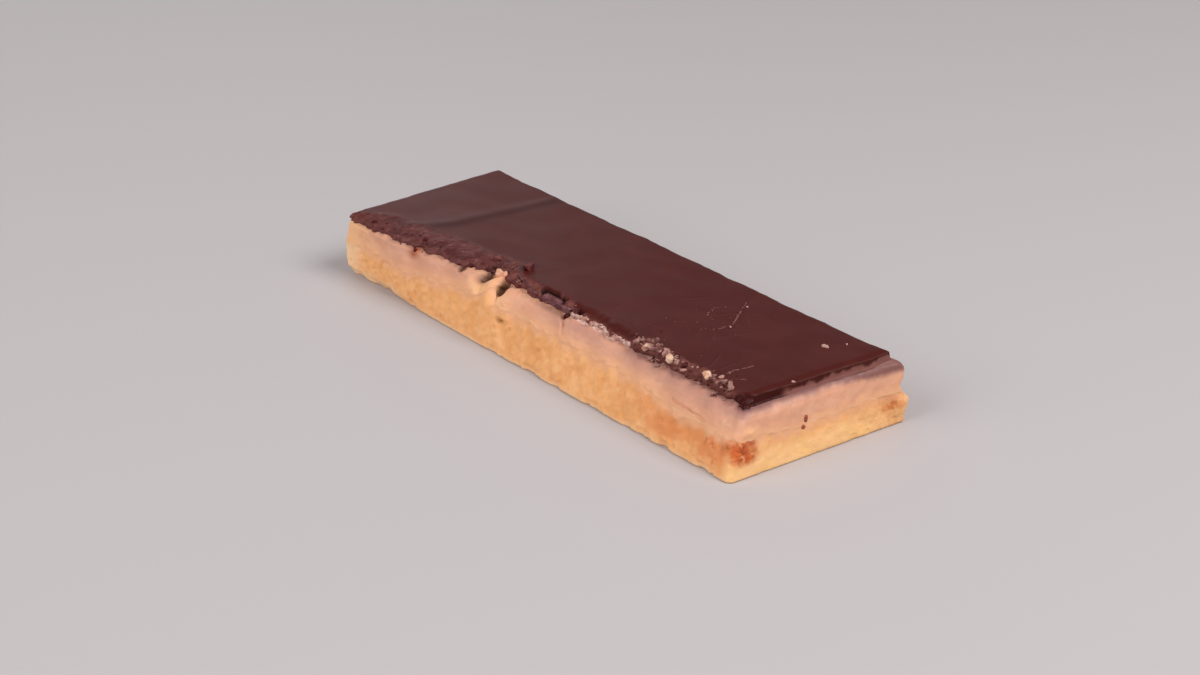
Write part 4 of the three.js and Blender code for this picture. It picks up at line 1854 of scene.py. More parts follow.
@dataclass
class ChocolateTop(Layer):
    """The thin chocolate: a glossy set face, a broken near edge, a sagged shoulder and a bent front corner.

    Attributes:
        heights: Gives its underside and its face.
        setbacks: How far in it starts, for each station.
        under: Distances in from its edge of the rings on its underside.
        even_reach: How many stations on each side are averaged for the even setbacks.
        fine_steps: Distance in from the edge up to which the face's rings lie one step apart, and the step.
        loose: Where the near edge is loose and crumbled.
        ridge: Points of the low ridge across the face.
        dip_offset: How far before the ridge lies the crease that is painted dark as shade.
        scratches: Both ends of each scratch in the face.
    """

    heights: LayerHeights
    setbacks: Array
    under: tuple[float, ...] = (7.0, 1.2, 0.0)
    wall_rings: int = 7
    even_reach: int = 12
    follow_fade: tuple[float, float] = (4.0, 14.0)
    edge_round: float = 0.12
    bulge: float = 0.18
    front_sink: float = 0.12
    fine_steps: tuple[tuple[float, float], ...] = ((3.0, 0.17), (9.0, 0.32), (18.0, 0.75))
    least_thickness: float = 0.15
    loose: tuple[Stretch, ...] = (Stretch((22, 27), (49, 44)), Stretch((-12, -10), (8, 5)))
    broken_wander: Noise = Noise(1.1, 2.6, 3, 51)
    waves: Noise = Noise(0.03, 9.0, 2, 52)
    chunks: Crumb = Crumb(1.5, 53)
    chunk_height: float = 0.32
    chunk_tilt: float = 0.34
    chunk_turns: float = 6.28
    chunk_level: float = 0.6
    splits: Crumb = Crumb(0.62, 54)
    split_height: float = 0.12
    split_swell: float = 0.10
    plain_break_share: float = 0.08
    slits: tuple[Slit, ...] = (
        Slit((-1.6, -12.0), (4.2, -12.0), 1.3, 1.15),
        Slit((-1.4, -13.4), (4.8, -13.4), 1.8, 0.55),
        Slit((8.2, -12.2), (10.6, -13.0), 0.6, 0.9),
        Slit((-9.3, -12.1), (-1.1, -14.1), 0.5, 0.8),
        Slit((-16.6, -12.0), (-15.6, -11.8), 1.2, 1.0),
    )
    slit_wobble: Noise = Noise(0.25, 1.2, 2, 55)
    ridge: tuple[tuple[float, float], ...] = (
        (-39.3, -13.1),
        (-36.1, -6.6),
        (-36.0, 1.0),
        (-35.2, 7.1),
        (-34.8, 13.6),
    )
    ridge_height: float = 0.09
    ridge_half_width: float = 1.6
    dip_offset: float = 1.2
    dip_half_length: float = 1.6
    scratches: tuple[tuple[tuple[float, float], tuple[float, float]], ...] = (
        ((42.6, -11.0), (43.4, -5.2)),
        ((41.2, -9.6), (40.6, -4.2)),
        ((39.4, -10.2), (36.9, -5.8)),
        ((23.6, 10.8), (28.0, 5.6)),
        ((28.0, 5.6), (30.6, 1.0)),
        ((26.6, 7.6), (24.2, 3.4)),
        ((31.4, -3.0), (33.4, 3.2)),
        ((15.0, 2.6), (17.6, 7.0)),
    )
    scratch_depth: float = 0.05
    scratch_half_width: float = 0.16
    wall_wander: Noise = Noise(0.45, 1.4, 3, 56)
    band_wander: Noise = Noise(0.8, 3.0, 3, 57)

    def even_setbacks(self) -> Array:
        """Returns the setbacks without their raggedness, which the height of the face follows."""
        padded = np.pad(self.setbacks, self.even_reach, mode="wrap")
        window = 2 * self.even_reach + 1
        return np.convolve(padded, np.ones(window) / window, mode="valid")

    def broken(self, points: Array, from_edge: Array) -> Array:
        """How rough and broken the chocolate is at each place.

        Args:
            points: Places on the smooth skin.
            from_edge: Distance in from the chocolate's edge.

        Returns:
            Values from 0 on the set face to 1 on broken chocolate.
        """
        x = points[..., 0]
        sag = self.heights.sag.at(x)
        loose = clamp01(sum(stretch.at(x) for stretch in self.loose))
        width = 0.5 + 5.4 * sag + 1.6 * loose - 0.4 * self.heights.feather.at(x)
        wander = self.broken_wander.at(points) * (0.3 + sag)
        worn = mix(0.12, 1.0, np.maximum(1 - sag, smooth(1.1, 0.3, from_edge)))
        inner = self.near * worn * smooth(width + 0.9, width - 1.2, from_edge + wander)
        bent = smooth(0.4, 1.0, self.heights.beyond_chip(x, points[..., 1]))
        return clamp01(np.maximum(inner * (1 - bent), smooth(0.25, 0.0, from_edge)))

    def face_relief(self, points: Array) -> Array:
        """The set face's faint waves, low ridge and scratches.

        Args:
            points: Places on the smooth skin.

        Returns:
            Heights in millimetres, outward.
        """
        x, y = points[..., 0], points[..., 1]
        from_ridge = self.from_ridge(x, y)
        ridge = self.ridge_height * bump(from_ridge, 0.0, self.ridge_half_width)
        height = np.maximum(self.waves.at(points), ridge)
        for start, end in self.scratches:
            away = segment_distance(x, y, start, end)
            height = height - self.scratch_depth * bump(away, 0.0, self.scratch_half_width)
        return height

    def relief(self, points: Array, broken: Array) -> Array:
        """The relief of the face and the facets of the broken chocolate.

        Args:
            points: Places on the smooth skin.
            broken: How broken each place is.

        Returns:
            Heights in millimetres, outward.
        """
        chunks, splits = self.chunks.at(points), self.splits.at(points)
        turn = chunks.other_draw * self.chunk_turns
        tilt = np.stack([np.cos(turn), np.sin(turn), chunks.draw], axis=-1)
        facets = self.chunk_height * (chunks.draw - self.chunk_level)
        facets = facets + self.chunk_tilt * np.sum(chunks.offset * tilt, axis=-1)
        facets = facets + self.split_height * (splits.draw - 0.5) + self.split_swell * splits.swell
        cut = mix(self.plain_break_share, 1.0, self.near)
        return mix(self.face_relief(points), cut * facets, broken)

    def face(self, flat_x: Array, flat_y: Array, from_edge: Array | float) -> Array:
        """The height of the top face, never thinner than the thinnest chocolate.

        Args:
            flat_x: Places along the plain bar.
            flat_y: Places across the plain bar.
            from_edge: Distance in from the chocolate's edge.

        Returns:
            Heights in millimetres.
        """
        inset = self.form.half_width - np.abs(flat_y)
        floor = self.heights.caramel(flat_x, flat_y, inset) + self.form.layer_gap + self.least_thickness
        return np.maximum(self.heights.chocolate(flat_x, flat_y, from_edge), floor)

    def from_ridge(self, x: Array, y: Array) -> Array:
        """Returns how far places are from the low ridge across the face."""
        return np.minimum.reduce([segment_distance(x, y, *ends) for ends in zip(self.ridge, self.ridge[1:])])

    def slit_drop(self, points: Array) -> Array:
        """How far the open slits cut down into the face.

        Args:
            points: Places on the smooth skin.

        Returns:
            Depths in millimetres.
        """
        drop = np.zeros(points.shape[:-1])
        wobble = self.slit_wobble.at(points)
        for slit in self.slits:
            away = segment_distance(points[..., 0], points[..., 1], slit.start, slit.end) + wobble
            drop = np.maximum(drop, slit.depth * smooth(slit.width / 2 + 0.12, slit.width / 2 - 0.15, away))
        return drop

    def top_height(self, points: Array) -> Array:
        """Returns the height of the middle of the face."""
        base = self.face(points[:, 0], points[:, 1], self.form.half_width)
        return base + self.face_relief(np.stack([points[:, 0], points[:, 1], base], axis=-1))

    def near_edge(self) -> Array:
        """Returns the points of the near edge at the height of the face, from left to right."""
        near = (self.stations.side == Side.NEAR.value) & np.isnan(self.stations.turn)
        top = np.full(self.stations.count, self.form.chocolate_top)
        return self.form.place(*self.stations.flat(self.setbacks), top)[near]

    def rings(self) -> tuple[Array, Array, Array]:
        """The rings of the smooth skin, from the underside out, up the wall and in over the face.

        Returns:
            The rings, their distance in from the edge and how far up the wall each ring is.
        """
        stack = RingStack(self.form, self.stations)
        at_edge = np.zeros(self.stations.count)
        lift = self.form.layer_gap - self.front_sink * self.front
        for inward in self.under:
            inset = self.setbacks + inward
            stack.add(inset, partial(self.heights.caramel, inset=inset), lift)
        from_edge = [at_edge] * len(self.under)
        rise = [0.0] * len(self.under)
        bottom = self.heights.caramel(*self.stations.flat(self.setbacks), self.setbacks) + lift
        edge_inset = self.setbacks + self.edge_round
        even = self.even_setbacks()
        top = self.face(*self.stations.flat(edge_inset), np.maximum(edge_inset - even, 0.0))
        bulge = self.bulge * (1 - self.front)
        for share in shares(self.wall_rings):
            inset = self.setbacks + self.edge_round * share - bulge * math.sin(math.pi * share)
            stack.add(inset, mix(bottom, top, share))
            from_edge.append(at_edge)
            rise.append(share)
        distance = self.edge_round
        for reach, step in self.fine_steps:
            for distance in np.arange(distance + step, reach, step):
                follow = 1 - smooth(*self.follow_fade, distance)
                inward = np.maximum(distance + (self.setbacks - even) * follow, 0.0)
                stack.add(distance + self.setbacks * follow, partial(self.face, from_edge=inward))
                from_edge.append(inward)
                rise.append(1.0)
        return stack.points(), np.stack(from_edge), np.array(rise)[:, None]

    def marks(
        self, points: Array, from_edge: Array, rise: Array, broken: Array, drop: Array
    ) -> dict[str, Array]:
        """What the finish needs to know about each place.

        Args:
            points: Places on the smooth skin.
            from_edge: Distance in from the chocolate's edge.
            rise: How far up the wall each ring is.
            broken: How broken each place is.
            drop: How far the slits cut down there.

        Returns:
            The marks by name.
        """
        x, y = points[..., 0], points[..., 1]
        front = self.front
        wall = smooth(0.35, 0.0, from_edge)
        sag = self.heights.sag.at(x) * self.near
        # Where the front corner bends down, and the front wall below it: painted shade, as they face away from
        # the light.
        bent = smooth(-0.05, 0.15, self.heights.beyond_chip(x, y))
        bent = np.maximum(bent, front * wall * smooth(-4.5, -6.5, y))
        film = front * smooth(0.7, 0.35, rise + self.wall_wander.at(points)) * (1 - bent)
        return {
            "broken": broken * (1 - bent) * (1 - 0.6 * sag),
            # The sagged shoulder, painted paler to stand in for the face's sheen.
            "band": sag * smooth(7.2, 4.6, from_edge + self.band_wander.at(points)),
            # Painted shade: the bottoms of the open slits and the shadowed wall at the bite near x = -16.
            "slit": np.maximum(smooth(0.5, 0.85, drop), 0.65 * wall * bump(x, -16.3, 0.8)),
            "bent": bent,
            "film": film,
            "rind": front * wall * (1 - film) * (1 - bent),
            # Painted shade along the crease just before the low ridge.
            "dip": bump(self.from_ridge(x - self.dip_offset, y), 0.0, self.dip_half_length),
        }

    def build(self) -> bpy.types.Object:
        """Makes the layer.

        Returns:
            The piece.
        """
        points, from_edge, rise = self.rings()
        broken = self.broken(points, from_edge)
        drop = self.slit_drop(points) * smooth(0.0, 0.3, from_edge)
        marks = self.marks(points, from_edge, rise, broken, drop)
        ring = np.arange(len(points))[:, None]
        skin = Skin(self.stations, points, marks, top_height=self.top_height)
        skin.swell(self.relief(points, broken) * clamp01((ring - 2) / 2))
        skin.points[..., 2] -= drop
        return skin.build("chocolate_top.skin")

    def dress(self, piece: bpy.types.Object) -> None:
        """Gives the layer its finish and its place."""
        dress_piece(piece, CHOCOLATE, Slot.CHOCOLATE, "chocolate_top")


# Crumbs and flakes


@dataclass(frozen=True)
class Lump:
    """One crumb or flake.

    Attributes:
        middle: Its middle in millimetres.
        half_sizes: Half of its length, width and height.
        turn: Its turn about Z in degrees.
        tilt: Its tilt about X in degrees, before the turn.
    """

    middle: tuple[float, float, float]
    half_sizes: tuple[float, float, float]
    turn: float = 0.0
    tilt: float = 0.0

    def matrix(self) -> Array:
        """Returns the rotation matrix for the turn and tilt."""
        a, b = math.radians(self.turn), math.radians(self.tilt)
        about_z = np.array([[math.cos(a), -math.sin(a), 0], [math.sin(a), math.cos(a), 0], [0, 0, 1]])
        about_x = np.array([[1, 0, 0], [0, math.cos(b), -math.sin(b)], [0, math.sin(b), math.cos(b)]])
        return about_z @ about_x


@dataclass(frozen=True)
class LumpKind:
    """How the lumps of one kind broke off, and what they are.

    Attributes:
        name: Name of the piece that holds them.
        slot: The record's material slot.
        finish: Their finish.
        angular: 1 for flat splits, 0 for a round, grainy crumb.
        cuts: How many flat splits each lump has.
        grainy: Depth of the grain as a share of the lump's size.
        round: 1 for a round lump, less for a flatter, squarer one.
        seed: Seeds the draws.
        depth: 1 for grain all round, 0 for a plate whose outline alone is jagged.
        cut_distances: Nearest and farthest split from the middle, as shares of the lump's size.
        grain: Size of the grain, as a share of the lump's size.
        pattern_step: Distance between the patterns of two lumps.
    """

    name: str
    slot: Slot
    finish: Finish
    angular: float
    cuts: int
    grainy: float
    round: float
    seed: int
    depth: float = 1.0
    cut_distances: tuple[float, float] = (0.35, 0.8)
    grain: float = 0.55
    pattern_step: float = 7.3

    def build(self, lumps: Sequence[Lump]) -> bpy.types.Object:
        """Makes one mesh of all the lumps.

        Args:
            lumps: The lumps.

        Returns:
            The piece.
        """
        draw = np.random.default_rng(self.seed)
        noise = Noise(self.grainy, self.grain, 3, self.seed)
        ball, ball_faces = unit_ball()
        vertices: list[Array] = []
        faces: list[list[int]] = []
        for number, lump in enumerate(lumps):
            points = np.sign(ball) * np.abs(ball) ** self.round
            for _ in range(self.cuts):
                direction = draw.normal(size=3)
                direction /= np.linalg.norm(direction)
                excess = np.maximum(points @ direction - draw.uniform(*self.cut_distances), 0.0)
                points -= self.angular * excess[:, None] * direction
            pattern = ball * np.array([1, 1, self.depth]) + np.array([number * self.pattern_step, 1.0, 2.0])
            points *= 1 + noise.at(pattern)[:, None]
            points *= np.array(lump.half_sizes)
            faces += [[corner + number * len(ball) for corner in face] for face in ball_faces]
            vertices.append(points @ lump.matrix().T + np.array(lump.middle))
        return mesh_object(self.name, np.concatenate(vertices), faces)


# What stuck to the bar, one kind for each piece.
LUMP_KINDS = (
    LumpKind("chocolate_crumbs", Slot.CHOCOLATE, DARK_CRUMB, 0.9, cuts=7, grainy=0.2, round=0.8, seed=70),
    LumpKind("chocolate_splinters", Slot.CHOCOLATE, SPLINTER, 0.9, cuts=8, grainy=0.12, round=1.0, seed=62),
    LumpKind(
        "chocolate_flakes", Slot.CHOCOLATE, FLAKE, 0.8, cuts=4, grainy=0.5, round=0.45, seed=63, depth=0.15
    ),
    LumpKind("shortbread_crumbs", Slot.SHORTBREAD, CRUMB, 0.8, cuts=8, grainy=0.5, round=0.8, seed=64),
    LumpKind("stained_crumbs", Slot.SHORTBREAD, RUBBLE, 0.8, cuts=8, grainy=0.4, round=0.8, seed=67),
    LumpKind("rim_crumbs", Slot.CARAMEL, RIM, 0.4, cuts=4, grainy=0.4, round=0.9, seed=68),
    LumpKind("caramel_peaks", Slot.CARAMEL, CARAMEL, 0.3, cuts=3, grainy=0.45, round=1.0, seed=71),
    LumpKind("pale_specks", Slot.SHORTBREAD, SPECK, 0.8, cuts=6, grainy=0.6, round=0.8, seed=65),
    LumpKind("fine_dust", Slot.SHORTBREAD, DUST, 0.8, cuts=4, grainy=0.5, round=0.8, seed=66),
    LumpKind("end_bits", Slot.CHOCOLATE, CARAMELISED, 0.6, cuts=5, grainy=0.3, round=0.9, seed=69),
)


def unit_ball(level: int = 3) -> tuple[Array, list[list[int]]]:
    """An evenly divided ball of radius 1.

    Args:
        level: How finely it is divided.

    Returns:
        Its points and faces.
    """
    work = bmesh.new()
    bmesh.ops.create_icosphere(work, subdivisions=level, radius=1.0)
    points = np.array([vertex.co for vertex in work.verts])
    faces = [[vertex.index for vertex in face.verts] for face in work.faces]
    work.free()
    return points, faces


@dataclass
class Surface:
    """Finds places on the finished layers, in the form's millimetres.

    Attributes:
        layers: The finished layers.
        over: Height from which it looks down.
        before: Place across the bar from which it looks at the near side.
        ahead_of: Place along the bar from which it looks at the front end.
    """

    layers: Sequence[bpy.types.Object]
    over: float = 40.0
    before: float = -60.0
    ahead_of: float = 90.0
    trees: list[BVHTree] = field(init=False)

    def __post_init__(self) -> None:
        """Prepares the search."""
        graph = bpy.context.evaluated_depsgraph_get()
        self.trees = [BVHTree.FromObject(layer, graph) for layer in self.layers]

    def hit(self, start: tuple[float, float, float], direction: tuple[int, int, int]) -> Array | None:
        """The first place that a ray meets.

        Args:
            start: Where the ray starts.
            direction: Where it goes.

        Returns:
            The place, or None if the ray misses.
        """
        shift = np.array(BarForm.shift)
        origin = Vector((np.array(start) + shift) * MM)
        hits = [tree.ray_cast(origin, Vector(direction)) for tree in self.trees]
        found = [(distance, place) for place, _, _, distance in hits if place is not None]
        if not found:
            return None
        return np.array(min(found, key=lambda item: item[0])[1]) / MM - shift

    def above(self, x: float, y: float) -> Array | None:
        """Returns the place on top of the bar at x and y."""
        return self.hit((x, y, self.over), (0, 0, -1))

    def beside(self, x: float, z: float) -> Array | None:
        """Returns the place on the near side at x and z."""
        return self.hit((x, self.before, z), (0, 1, 0))

    def ahead(self, y: float, z: float) -> Array | None:
        """Returns the place on the front end at y and z."""
        return self.hit((self.ahead_of, y, z), (-1, 0, 0))


@dataclass(frozen=True)
class Strew:
    """A stretch of the bar that crumbs landed on.

    Attributes:
        count: How many.
        x: Lowest and highest place along the bar.
        inward: Lowest and highest distance in from the chocolate's near edge.
        radius: Smallest and largest crumb.
        least_shape: Least length, width and height, for a radius of 1.
        most_shape: Most of them.
        most_tilt: Most tilt in degrees.
    """

    count: int
    x: tuple[float, float]
    inward: tuple[float, float]
    radius: tuple[float, float]
    least_shape: tuple[float, float, float] = (0.9, 0.7, 0.45)
    most_shape: tuple[float, float, float] = (1.4, 1.0, 0.8)
    most_tilt: float = 20.0

    def lumps(
        self, surface: Surface, edge: Callable[[float], float], draw: np.random.Generator
    ) -> list[Lump]:
        """Draws the crumbs.

        Args:
            surface: The layers that they land on.
            edge: Gives the chocolate's near edge at a place along the bar.
            draw: Source of the draws.

        Returns:
            The crumbs.
        """
        lumps = []
        for _ in range(self.count):
            along, inward, share, turn, tilt = draw.uniform(size=5)
            x = mix(*self.x, along)
            radius = mix(*self.radius, share**2)
            sizes = radius * draw.uniform(self.least_shape, self.most_shape)
            place = surface.above(x, edge(x) + mix(*self.inward, inward))
            if place is not None:
                lumps.append(stuck_lump(place, sizes, 360 * turn, self.most_tilt * (2 * tilt - 1)))
        return lumps


# How far the middle of a stuck lump stands above the surface, as a share of its half height.
STUCK_LIFT = 0.45


def stuck_lump(place: Array, half_sizes: Array, turn: float = 0.0, tilt: float = 0.0) -> Lump:
    """Returns a lump that sinks a little into the surface beneath it."""
    middle = place + np.array([0.0, 0.0, STUCK_LIFT * half_sizes[2]])
    return Lump(tuple(middle), tuple(half_sizes), turn, tilt)


@dataclass
class StuckCrumbs:
    """What stuck to the bar when it was broken: chocolate splinters, flakes, shortbread crumbs and specks.

    Attributes:
        surface: The layers that they sit on.
        outline: Points along the chocolate's near edge.
        seed: Seeds the draws.
        splinters: Where the small chocolate splits landed.
        rubble: Where the stained shortbread crumbs landed.
        rim_x: Both ends of the row of whitened grains.
        peaks: The lifted tips of caramel beside the pocket.
        sitting_shape: Half length, width and height of a sitting crumb, for a radius of 1.
        sitting_turn: How much farther each sitting crumb is turned than the one before, in degrees.
        dark_crumbs: Place along and across the bar and radius of each whole chocolate crumb.
        pale_crumbs: The same for the loose shortbread crumbs.
        specks: The same for the pale specks.
        dust: Where fine dust landed.
        streaks: Both ends of each streak of dragged dust, and how many grains it has.
        side_bits: Place, height and half sizes of each bit on the near side.
        end_bits: The same for the bits in the cut end, from their place across the bar.
        flakes: The lifted flakes of chocolate.
    """

    surface: Surface
    outline: Array
    seed: int = 61
    splinters: tuple[Strew, ...] = (
        Strew(46, (-52.0, -12.0), (-0.3, 3.0), (0.12, 0.36)),
        Strew(10, (-12.0, 8.0), (-0.3, 1.2), (0.12, 0.4)),
        Strew(60, (22.0, 48.0), (-0.1, 2.2), (0.15, 0.55)),
        Strew(24, (8.0, 52.0), (2.0, 7.0), (0.08, 0.18)),
    )
    rubble: tuple[Strew, ...] = (
        Strew(70, (24.0, 48.0), (-0.5, 1.8), (0.25, 0.75)),
        Strew(8, (-12.0, -7.0), (-0.8, 1.0), (0.2, 0.45)),
    )
    rim_x: tuple[float, float] = (7.5, 23.0)
    rim_spacing: float = 0.18
    rim_height: float = 10.6
    rim_setback: float = 0.1
    rim_spread: tuple[float, float] = (0.07, 0.1)
    rim_least: tuple[float, float, float] = (0.34, 0.2, 0.28)
    rim_most: tuple[float, float, float] = (0.62, 0.3, 0.46)
    rim_turn: float = 30.0
    peaks: tuple[Lump, ...] = (
        Lump((-13.7, -12.6, 10.8), (1.0, 0.7, 0.95), turn=20),
        Lump((-12.5, -12.2, 10.7), (0.9, 0.6, 0.8), turn=-30),
    )
    sitting_shape: tuple[float, float, float] = (1.15, 0.9, 0.75)
    sitting_turn: float = 75.0
    dark_crumbs: tuple[tuple[float, float, float], ...] = (
        (-46.5, -16.9, 0.6),
        (-33.6, -14.6, 0.5),
        (-10.3, -8.9, 1.15),
        (6.6, -13.6, 0.8),
        (36.6, -13.0, 0.7),
    )
    pale_crumbs: tuple[tuple[float, float, float], ...] = (
        (27.1, -13.2, 0.9),
        (33.3, -13.1, 1.05),
        (41.6, -12.5, 0.9),
    )
    specks: tuple[tuple[float, float, float], ...] = (
        (44.75, 8.75, 0.4),
        (45.35, 9.05, 0.35),
        (46.6, 12.2, 0.18),
        (51.4, -3.4, 0.3),
        (29.8, 2.2, 0.22),
        (25.2, 9.7, 0.18),
    )
    dust: tuple[Strew, ...] = (
        Strew(26, (22.0, 31.5), (9.0, 20.0), (0.04, 0.12)),
        Strew(20, (18.0, 36.0), (4.0, 26.0), (0.04, 0.09)),
    )
    streaks: tuple[tuple[tuple[float, float], tuple[float, float], int], ...] = (
        ((23.5, 11.1), (26.8, 6.4), 12),
        ((26.8, 6.4), (29.3, 3.1), 18),
        ((29.3, 3.1), (28.9, -0.9), 5),
        ((21.7, 6.1), (24.3, 1.2), 7),
        ((44.0, -11.5), (43.0, -8.6), 9),
        ((43.0, -8.6), (43.7, -5.2), 10),
        ((45.0, -11.6), (46.6, -8.9), 7),
    )
    streak_spread: float = 0.12
    streak_turn: float = 15.0
    streak_grain: tuple[float, float] = (0.05, 0.13)
    streak_shape: tuple[float, float, float] = (3.4, 0.8, 0.45)
    side_bits: tuple[tuple[float, float, tuple[float, float, float]], ...] = (
        (-20.3, 10.5, (0.6, 0.5, 0.6)),
        (-17.0, 10.6, (0.7, 0.4, 0.4)),
        (-33.4, 9.9, (0.5, 0.3, 0.7)),
    )
    end_bits: tuple[tuple[float, float, tuple[float, float, float]], ...] = (
        (-2.65, 6.2, (0.25, 0.4, 0.8)),
        (-3.3, 4.95, (0.22, 0.5, 0.42)),
    )
    flakes: tuple[Lump, ...] = (
        Lump((-7.2, -12.25, 11.55), (2.4, 0.34, 0.28), turn=-14, tilt=30),
        Lump((-3.0, -13.15, 11.25), (2.3, 0.34, 0.28), turn=-11, tilt=34),
        Lump((1.6, -13.2, 11.3), (3.2, 0.85, 0.15), turn=-3, tilt=26),
        Lump((6.0, -13.7, 11.3), (1.8, 0.7, 0.16), turn=8, tilt=26),
    )

    def edge(self, x: float) -> float:
        """Returns the chocolate's near edge at x."""
        return float(np.interp(x, self.outline[:, 0], self.outline[:, 1]))

    def sitting(self, spots: Sequence[tuple[float, float, float]]) -> list[Lump]:
        """The lumps that sit on top at known places.

        Args:
            spots: Place along and across the bar and radius of each.

        Returns:
            The lumps, each turned another way.
        """
        shape = np.array(self.sitting_shape)
        return [
            stuck_lump(self.surface.above(x, y), radius * shape, turn=self.sitting_turn * number)
            for number, (x, y, radius) in enumerate(spots)
        ]

    def strewn(self, strews: Sequence[Strew], draw: np.random.Generator) -> list[Lump]:
        """Returns the lumps of several stretches."""
        return [lump for strew in strews for lump in strew.lumps(self.surface, self.edge, draw)]

    def rim(self, draw: np.random.Generator) -> list[Lump]:
        """The whitened grains that stand along the thinned edge of the chocolate.

        Args:
            draw: Source of the draws.

        Returns:
            The grains.
        """
        lumps = []
        spread_y, spread_z = self.rim_spread
        for x in np.arange(*self.rim_x, self.rim_spacing):
            y = self.edge(x) - self.rim_setback + draw.uniform(-spread_y, spread_y)
            sizes = draw.uniform(self.rim_least, self.rim_most)
            middle = (x, y, self.rim_height + draw.uniform(-spread_z, spread_z))
            lumps.append(Lump(middle, tuple(sizes), draw.uniform(-self.rim_turn, self.rim_turn)))
        return lumps

    def dragged(self, draw: np.random.Generator) -> list[Lump]:
        """The dust that was dragged over the face in streaks.

        Args:
            draw: Source of the draws.

        Returns:
            The grains.
        """
        lumps = []
        for start, end, count in self.streaks:
            run = np.subtract(end, start)
            turn = math.degrees(math.atan2(run[1], run[0]))
            for share in draw.uniform(size=count):
                x, y = np.array(start) + run * share + draw.normal(scale=self.streak_spread, size=2)
                sizes = draw.uniform(*self.streak_grain) * np.array(self.streak_shape)
                turned = turn + draw.normal(scale=self.streak_turn)
                lumps.append(stuck_lump(self.surface.above(x, y), sizes, turned))
        return lumps

    def build(self) -> dict[LumpKind, bpy.types.Object]:
        """Makes the crumbs, one piece for each kind. The order of the draws decides where they lie.

        Returns:
            The pieces.
        """
        draw = np.random.default_rng(self.seed)
        beside = [Lump(tuple(self.surface.beside(x, z)), sizes) for x, z, sizes in self.side_bits]
        ahead = [Lump(tuple(self.surface.ahead(y, z)), sizes) for y, z, sizes in self.end_bits]
        lumps = {
            "chocolate_crumbs": self.sitting(self.dark_crumbs) + beside,
            "chocolate_splinters": self.strewn(self.splinters, draw),
            "fine_dust": self.strewn(self.dust, draw) + self.dragged(draw),
            "chocolate_flakes": self.flakes,
            "shortbread_crumbs": self.sitting(self.pale_crumbs),
            "stained_crumbs": self.strewn(self.rubble, draw),
            "rim_crumbs": self.rim(draw),
            "caramel_peaks": self.peaks,
            "pale_specks": self.sitting(self.specks),
            "end_bits": ahead,
        }
        return {kind: kind.build(lumps[kind.name]) for kind in LUMP_KINDS}

    def dress(self, pieces: dict[LumpKind, bpy.types.Object]) -> None:
        """Gives each piece its finish and its place."""
        for kind, piece in pieces.items():
            dress_piece(piece, kind.finish, kind.slot)


# Studio


def heading(azimuth: float, elevation: float) -> Vector:
    """Returns the direction at an azimuth from +X towards +Y and an elevation, both in degrees."""
    a, e = math.radians(azimuth), math.radians(elevation)
    return Vector((math.cos(a) * math.cos(e), math.sin(a) * math.cos(e), math.sin(e)))


def stand_off(thing: bpy.types.Object, target: Vector, away: Vector, distance: float) -> None:
    """Moves a light or camera away from its target, and turns it there."""
    thing.location = target + away * distance
    thing.rotation_euler = (-away).to_track_quat("-Z", "Y").to_euler()


@dataclass(frozen=True)
class SoftLight:
    """A large soft light.

    Attributes:
        name: Its name.
        azimuth: Where it stands, in degrees from +X towards +Y.
        elevation: Its height above the horizon in degrees.
        distance: How far it is, in metres.
        size: Its width in metres.
        power: Its power in watts.
    """

    name: str
    azimuth: float
    elevation: float
    distance: float
    size: float
    power: float

    def build(self) -> None:
        """Adds the light, turned to the bar."""
        data = bpy.data.lights.new(self.name, "AREA")
        data.shape = "DISK"
        data.size = self.size
        data.energy = self.power
        stand_off(link(self.name, data), Vector(), heading(self.azimuth, self.elevation), self.distance)


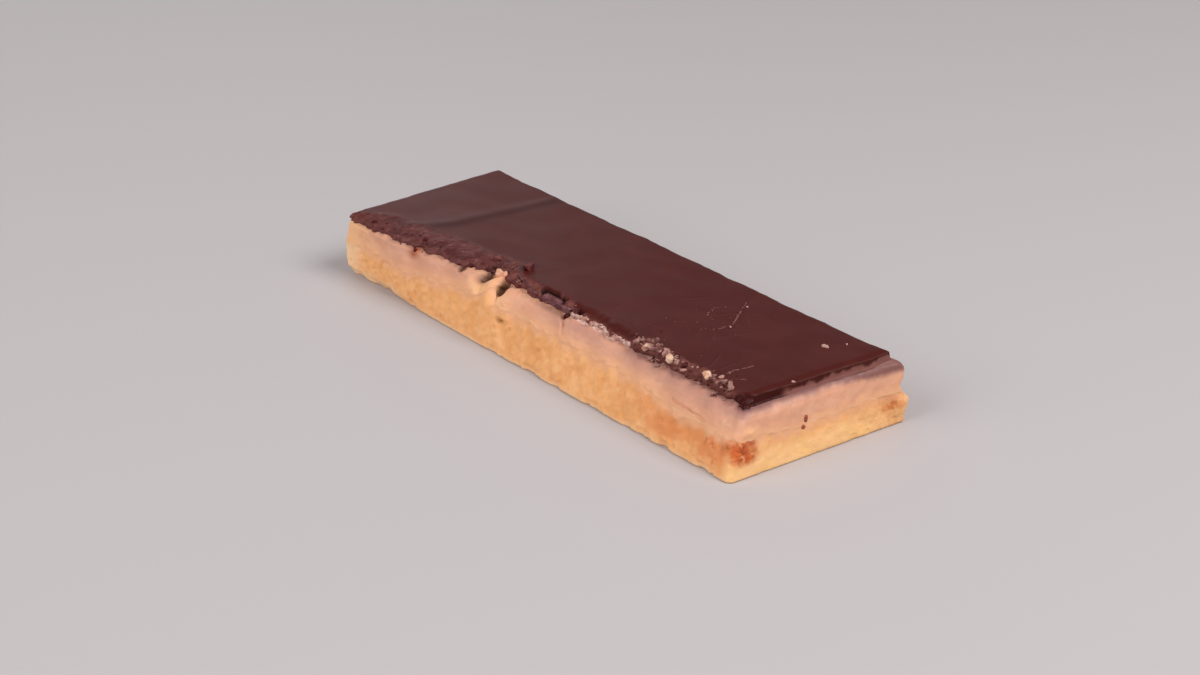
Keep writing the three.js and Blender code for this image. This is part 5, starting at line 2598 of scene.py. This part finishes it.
@dataclass(frozen=True)
class Studio:
    """A pale tabletop, soft lights and the camera.

    Attributes:
        target: Where the camera looks, in the form's millimetres.
        distance: Distance from the camera to the target in millimetres.
        azimuth: Angle of the camera from -Y towards +X, in degrees.
        elevation: Angle of the camera above the horizon, in degrees.
        lens: Focal length in millimetres.
        sensor: Width of the sensor in millimetres.
        nearest: The nearest that the camera sees, in metres.
        floor_size: Width of the tabletop in metres.
        ambient: sRGB colour of the surrounding light.
    """

    target: tuple[float, float, float] = (-1.26, -0.6, 0.0)
    distance: float = 430.5
    azimuth: float = 52.5
    elevation: float = 23.8
    lens: float = 75.0
    sensor: float = 36.0
    nearest: float = 0.01
    floor_size: float = 4.0
    ambient: str = "#e9e6ea"
    ambient_strength: float = 0.38
    lights: tuple[SoftLight, ...] = (
        SoftLight("key", azimuth=25, elevation=50, distance=0.8, size=0.5, power=4.9),
        SoftLight("fill", azimuth=-95, elevation=35, distance=0.9, size=0.7, power=4.4),
        SoftLight("back", azimuth=160, elevation=15, distance=0.9, size=0.5, power=0.5),
    )

    def build_floor(self) -> bpy.types.Object:
        """Adds the tabletop, which isn't part of the bar.

        Returns:
            The tabletop.
        """
        half = self.floor_size / 2
        corners = [(-half, -half, 0), (half, -half, 0), (half, half, 0), (-half, half, 0)]
        mesh = bpy.data.meshes.new("tabletop")
        mesh.from_pydata(corners, [], [(0, 1, 2, 3)])
        return link("tabletop", mesh)

    def build_camera(self) -> None:
        """Adds the camera and makes it the scene's."""
        data = bpy.data.cameras.new("camera")
        data.lens = self.lens
        data.sensor_width = self.sensor
        data.clip_start = self.nearest
        camera = link("camera", data)
        target = (Vector(self.target) + Vector(BarForm.shift)) * MM
        stand_off(camera, target, heading(self.azimuth - 90, self.elevation), self.distance * MM)
        bpy.context.scene.camera = camera

    def build(self) -> bpy.types.Object:
        """Sets the tabletop, the lights, the camera and the surrounding light.

        Returns:
            The tabletop.
        """
        floor = self.build_floor()
        self.build_camera()
        for light in self.lights:
            light.build()
        world = bpy.data.worlds.new("soft surround")
        world.use_nodes = True
        background = world.node_tree.nodes["Background"]
        background.inputs["Color"].default_value = linear(self.ambient)
        background.inputs["Strength"].default_value = self.ambient_strength
        bpy.context.scene.world = world
        bpy.context.scene.view_settings.view_transform = "Standard"
        return floor

    def dress(self, floor: bpy.types.Object) -> None:
        """Gives the tabletop its finish."""
        floor.data.materials.append(TABLETOP.material())


def main() -> None:
    """Builds the layers, the crumbs and the studio, in that order."""
    logging.basicConfig(level=logging.INFO, format="%(message)s")
    form = BarForm()
    stations = Stations(form)
    seam = Seam(form)
    heights = LayerHeights(form)
    setbacks = BrokenEdge(form).setbacks(stations)
    chocolate = ChocolateTop(form, stations, heights, setbacks)
    caramel = CaramelLayer(form, stations, seam, heights, setbacks)
    pieces = []
    for layer in (ShortbreadBase(form, stations, seam), caramel, chocolate):
        piece = layer.build()
        layer.dress(piece)
        pieces.append(piece)
    crumbs = StuckCrumbs(Surface(pieces), chocolate.near_edge())
    crumbs.dress(crumbs.build())
    studio = Studio()
    studio.dress(studio.build())


if __name__ == "__main__":
    main()
